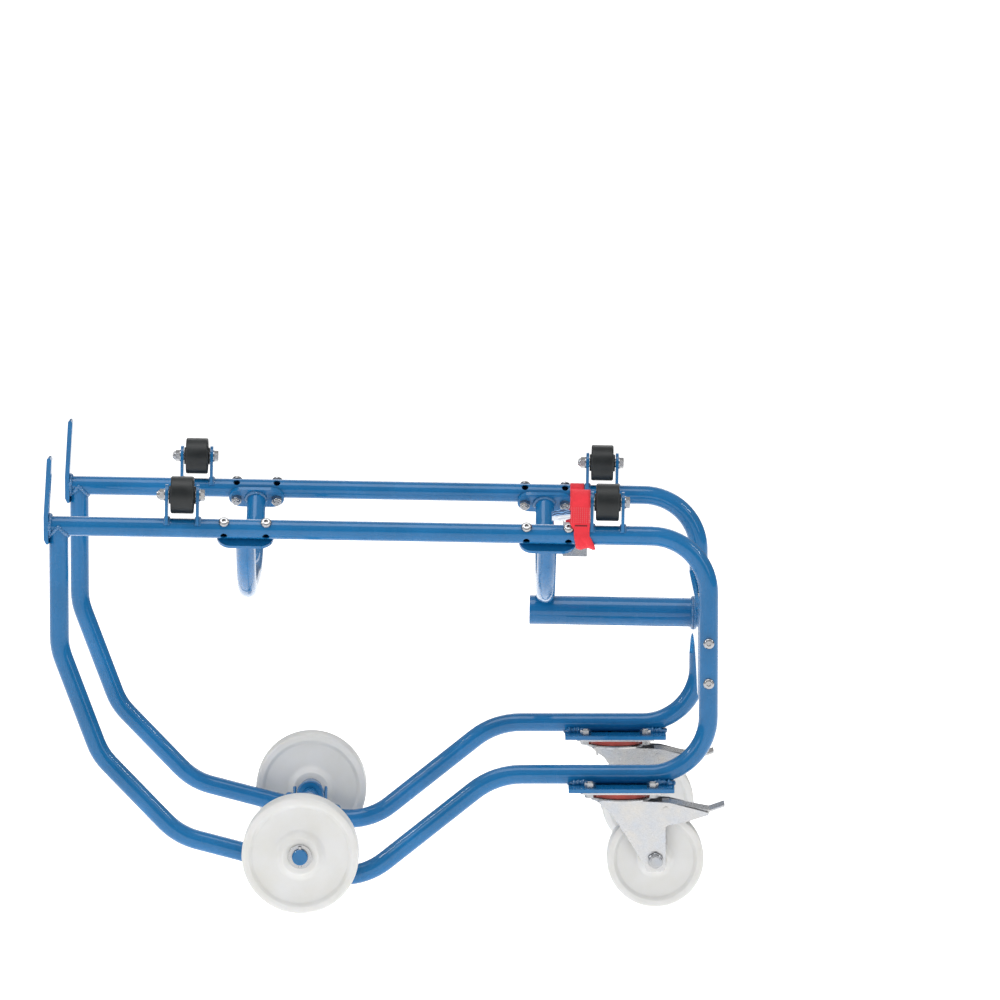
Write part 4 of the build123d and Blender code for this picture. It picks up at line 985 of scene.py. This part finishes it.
class DOLLY_OT_stage(Operator):
    """Set the floor, the soft boxes and the camera"""
    bl_idname = "dolly.stage"
    bl_label = "Stage"

    def execute(self, context):
        scene = context.scene
        work = bmesh.new()
        bmesh.ops.create_grid(work, x_segments=1, y_segments=1, size=60)
        mesh = bpy.data.meshes.new("floor")
        work.to_mesh(mesh)
        work.free()
        mesh.materials.append(finish("floor"))
        floor = bpy.data.objects.new("floor", mesh)
        scene.collection.objects.link(floor)
        scene.world = studio_world()
        area_light("overhead", (-0.4, -0.6, 3.2), (0, 0, 0.3), 2.6, 1.6, 39)
        area_light("front_left", (-3.2, -3.6, 2.2), (0, 0, 0.25), 1.4, 2.2, 28)
        area_light("front_right", (3.4, -2.8, 1.9), (0.1, 0, 0.25), 1.0, 2.0, 15)
        area_light("back", (0.6, 3.6, 2.4), (0, 0, 0.3), 2.6, 1.2, 22)
        area_light("streak_left", (-2.4, -0.7, 2.3), (-0.2, 0, 0.3), 0.12, 0.7, 11)
        area_light("streak_right", (2.6, -0.6, 2.3), (0.2, 0, 0.3), 0.12, 0.7, 11)
        camera = bpy.data.cameras.new("camera")
        camera.sensor_width = 36
        camera.lens = 267.5
        camera.clip_end = 200
        holder = bpy.data.objects.new("camera", camera)
        scene.collection.objects.link(holder)
        holder.location = (0.1413, -9.702, 1.5868)
        holder.rotation_euler = (radians(90 - 6.4), 0, radians(-0.039))
        scene.camera = holder
        scene.view_settings.view_transform = "Standard"
        return {"FINISHED"}


# --------------------------------------------------------------------- panel
class DOLLY_PT_panel(Panel):
    """Lists the dolly's pieces and the sizes and colours that they use"""
    bl_idname = "DOLLY_PT_panel"
    bl_label = "Drum dolly"
    bl_space_type = "VIEW_3D"
    bl_region_type = "UI"
    bl_category = "Drum dolly"

    def draw(self, context):
        layout = self.layout
        for group, fields in GROUPS:
            box = layout.box()
            settings = getattr(context.scene, group)
            for field in fields:
                box.prop(settings, field)
        for operator in OPERATORS:
            layout.operator(operator.bl_idname)


GROUPS = (
    ("dolly_finish", ("paint", "wheel", "strap")),
    ("dolly_wheels", ("rim", "dish", "hub_round", "steps")),
    ("dolly_strap", ("width", "thickness", "tab", "rib")),
    ("dolly_welds", ("bead",)),
)
PROPERTY_GROUPS = {
    "dolly_finish": DollyFinish,
    "dolly_wheels": DollyWheels,
    "dolly_strap": DollyStrap,
    "dolly_welds": DollyWelds,
}
OPERATORS = (
    DOLLY_OT_stage,
    DOLLY_OT_carried,
    DOLLY_OT_wheels,
    DOLLY_OT_welds,
    DOLLY_OT_strap,
    DOLLY_OT_label,
    DOLLY_OT_buckle_strap,
)


def register():
    """Register the classes and hang their settings on the scene."""
    for name, group in PROPERTY_GROUPS.items():
        bpy.utils.register_class(group)
        setattr(bpy.types.Scene, name, PointerProperty(type=group))
    for cls in (*OPERATORS, DOLLY_PT_panel):
        bpy.utils.register_class(cls)


def unregister():
    """Undo what register did."""
    for cls in reversed((*OPERATORS, DOLLY_PT_panel)):
        bpy.utils.unregister_class(cls)
    for name, group in reversed(PROPERTY_GROUPS.items()):
        delattr(bpy.types.Scene, name)
        bpy.utils.unregister_class(group)


def main():
    """Build everything."""
    register()
    for operator in OPERATORS:
        group, name = operator.bl_idname.split(".")
        getattr(getattr(bpy.ops, group), name)()
    bpy.context.view_layer.update()


if __name__ == "__main__":
    main()
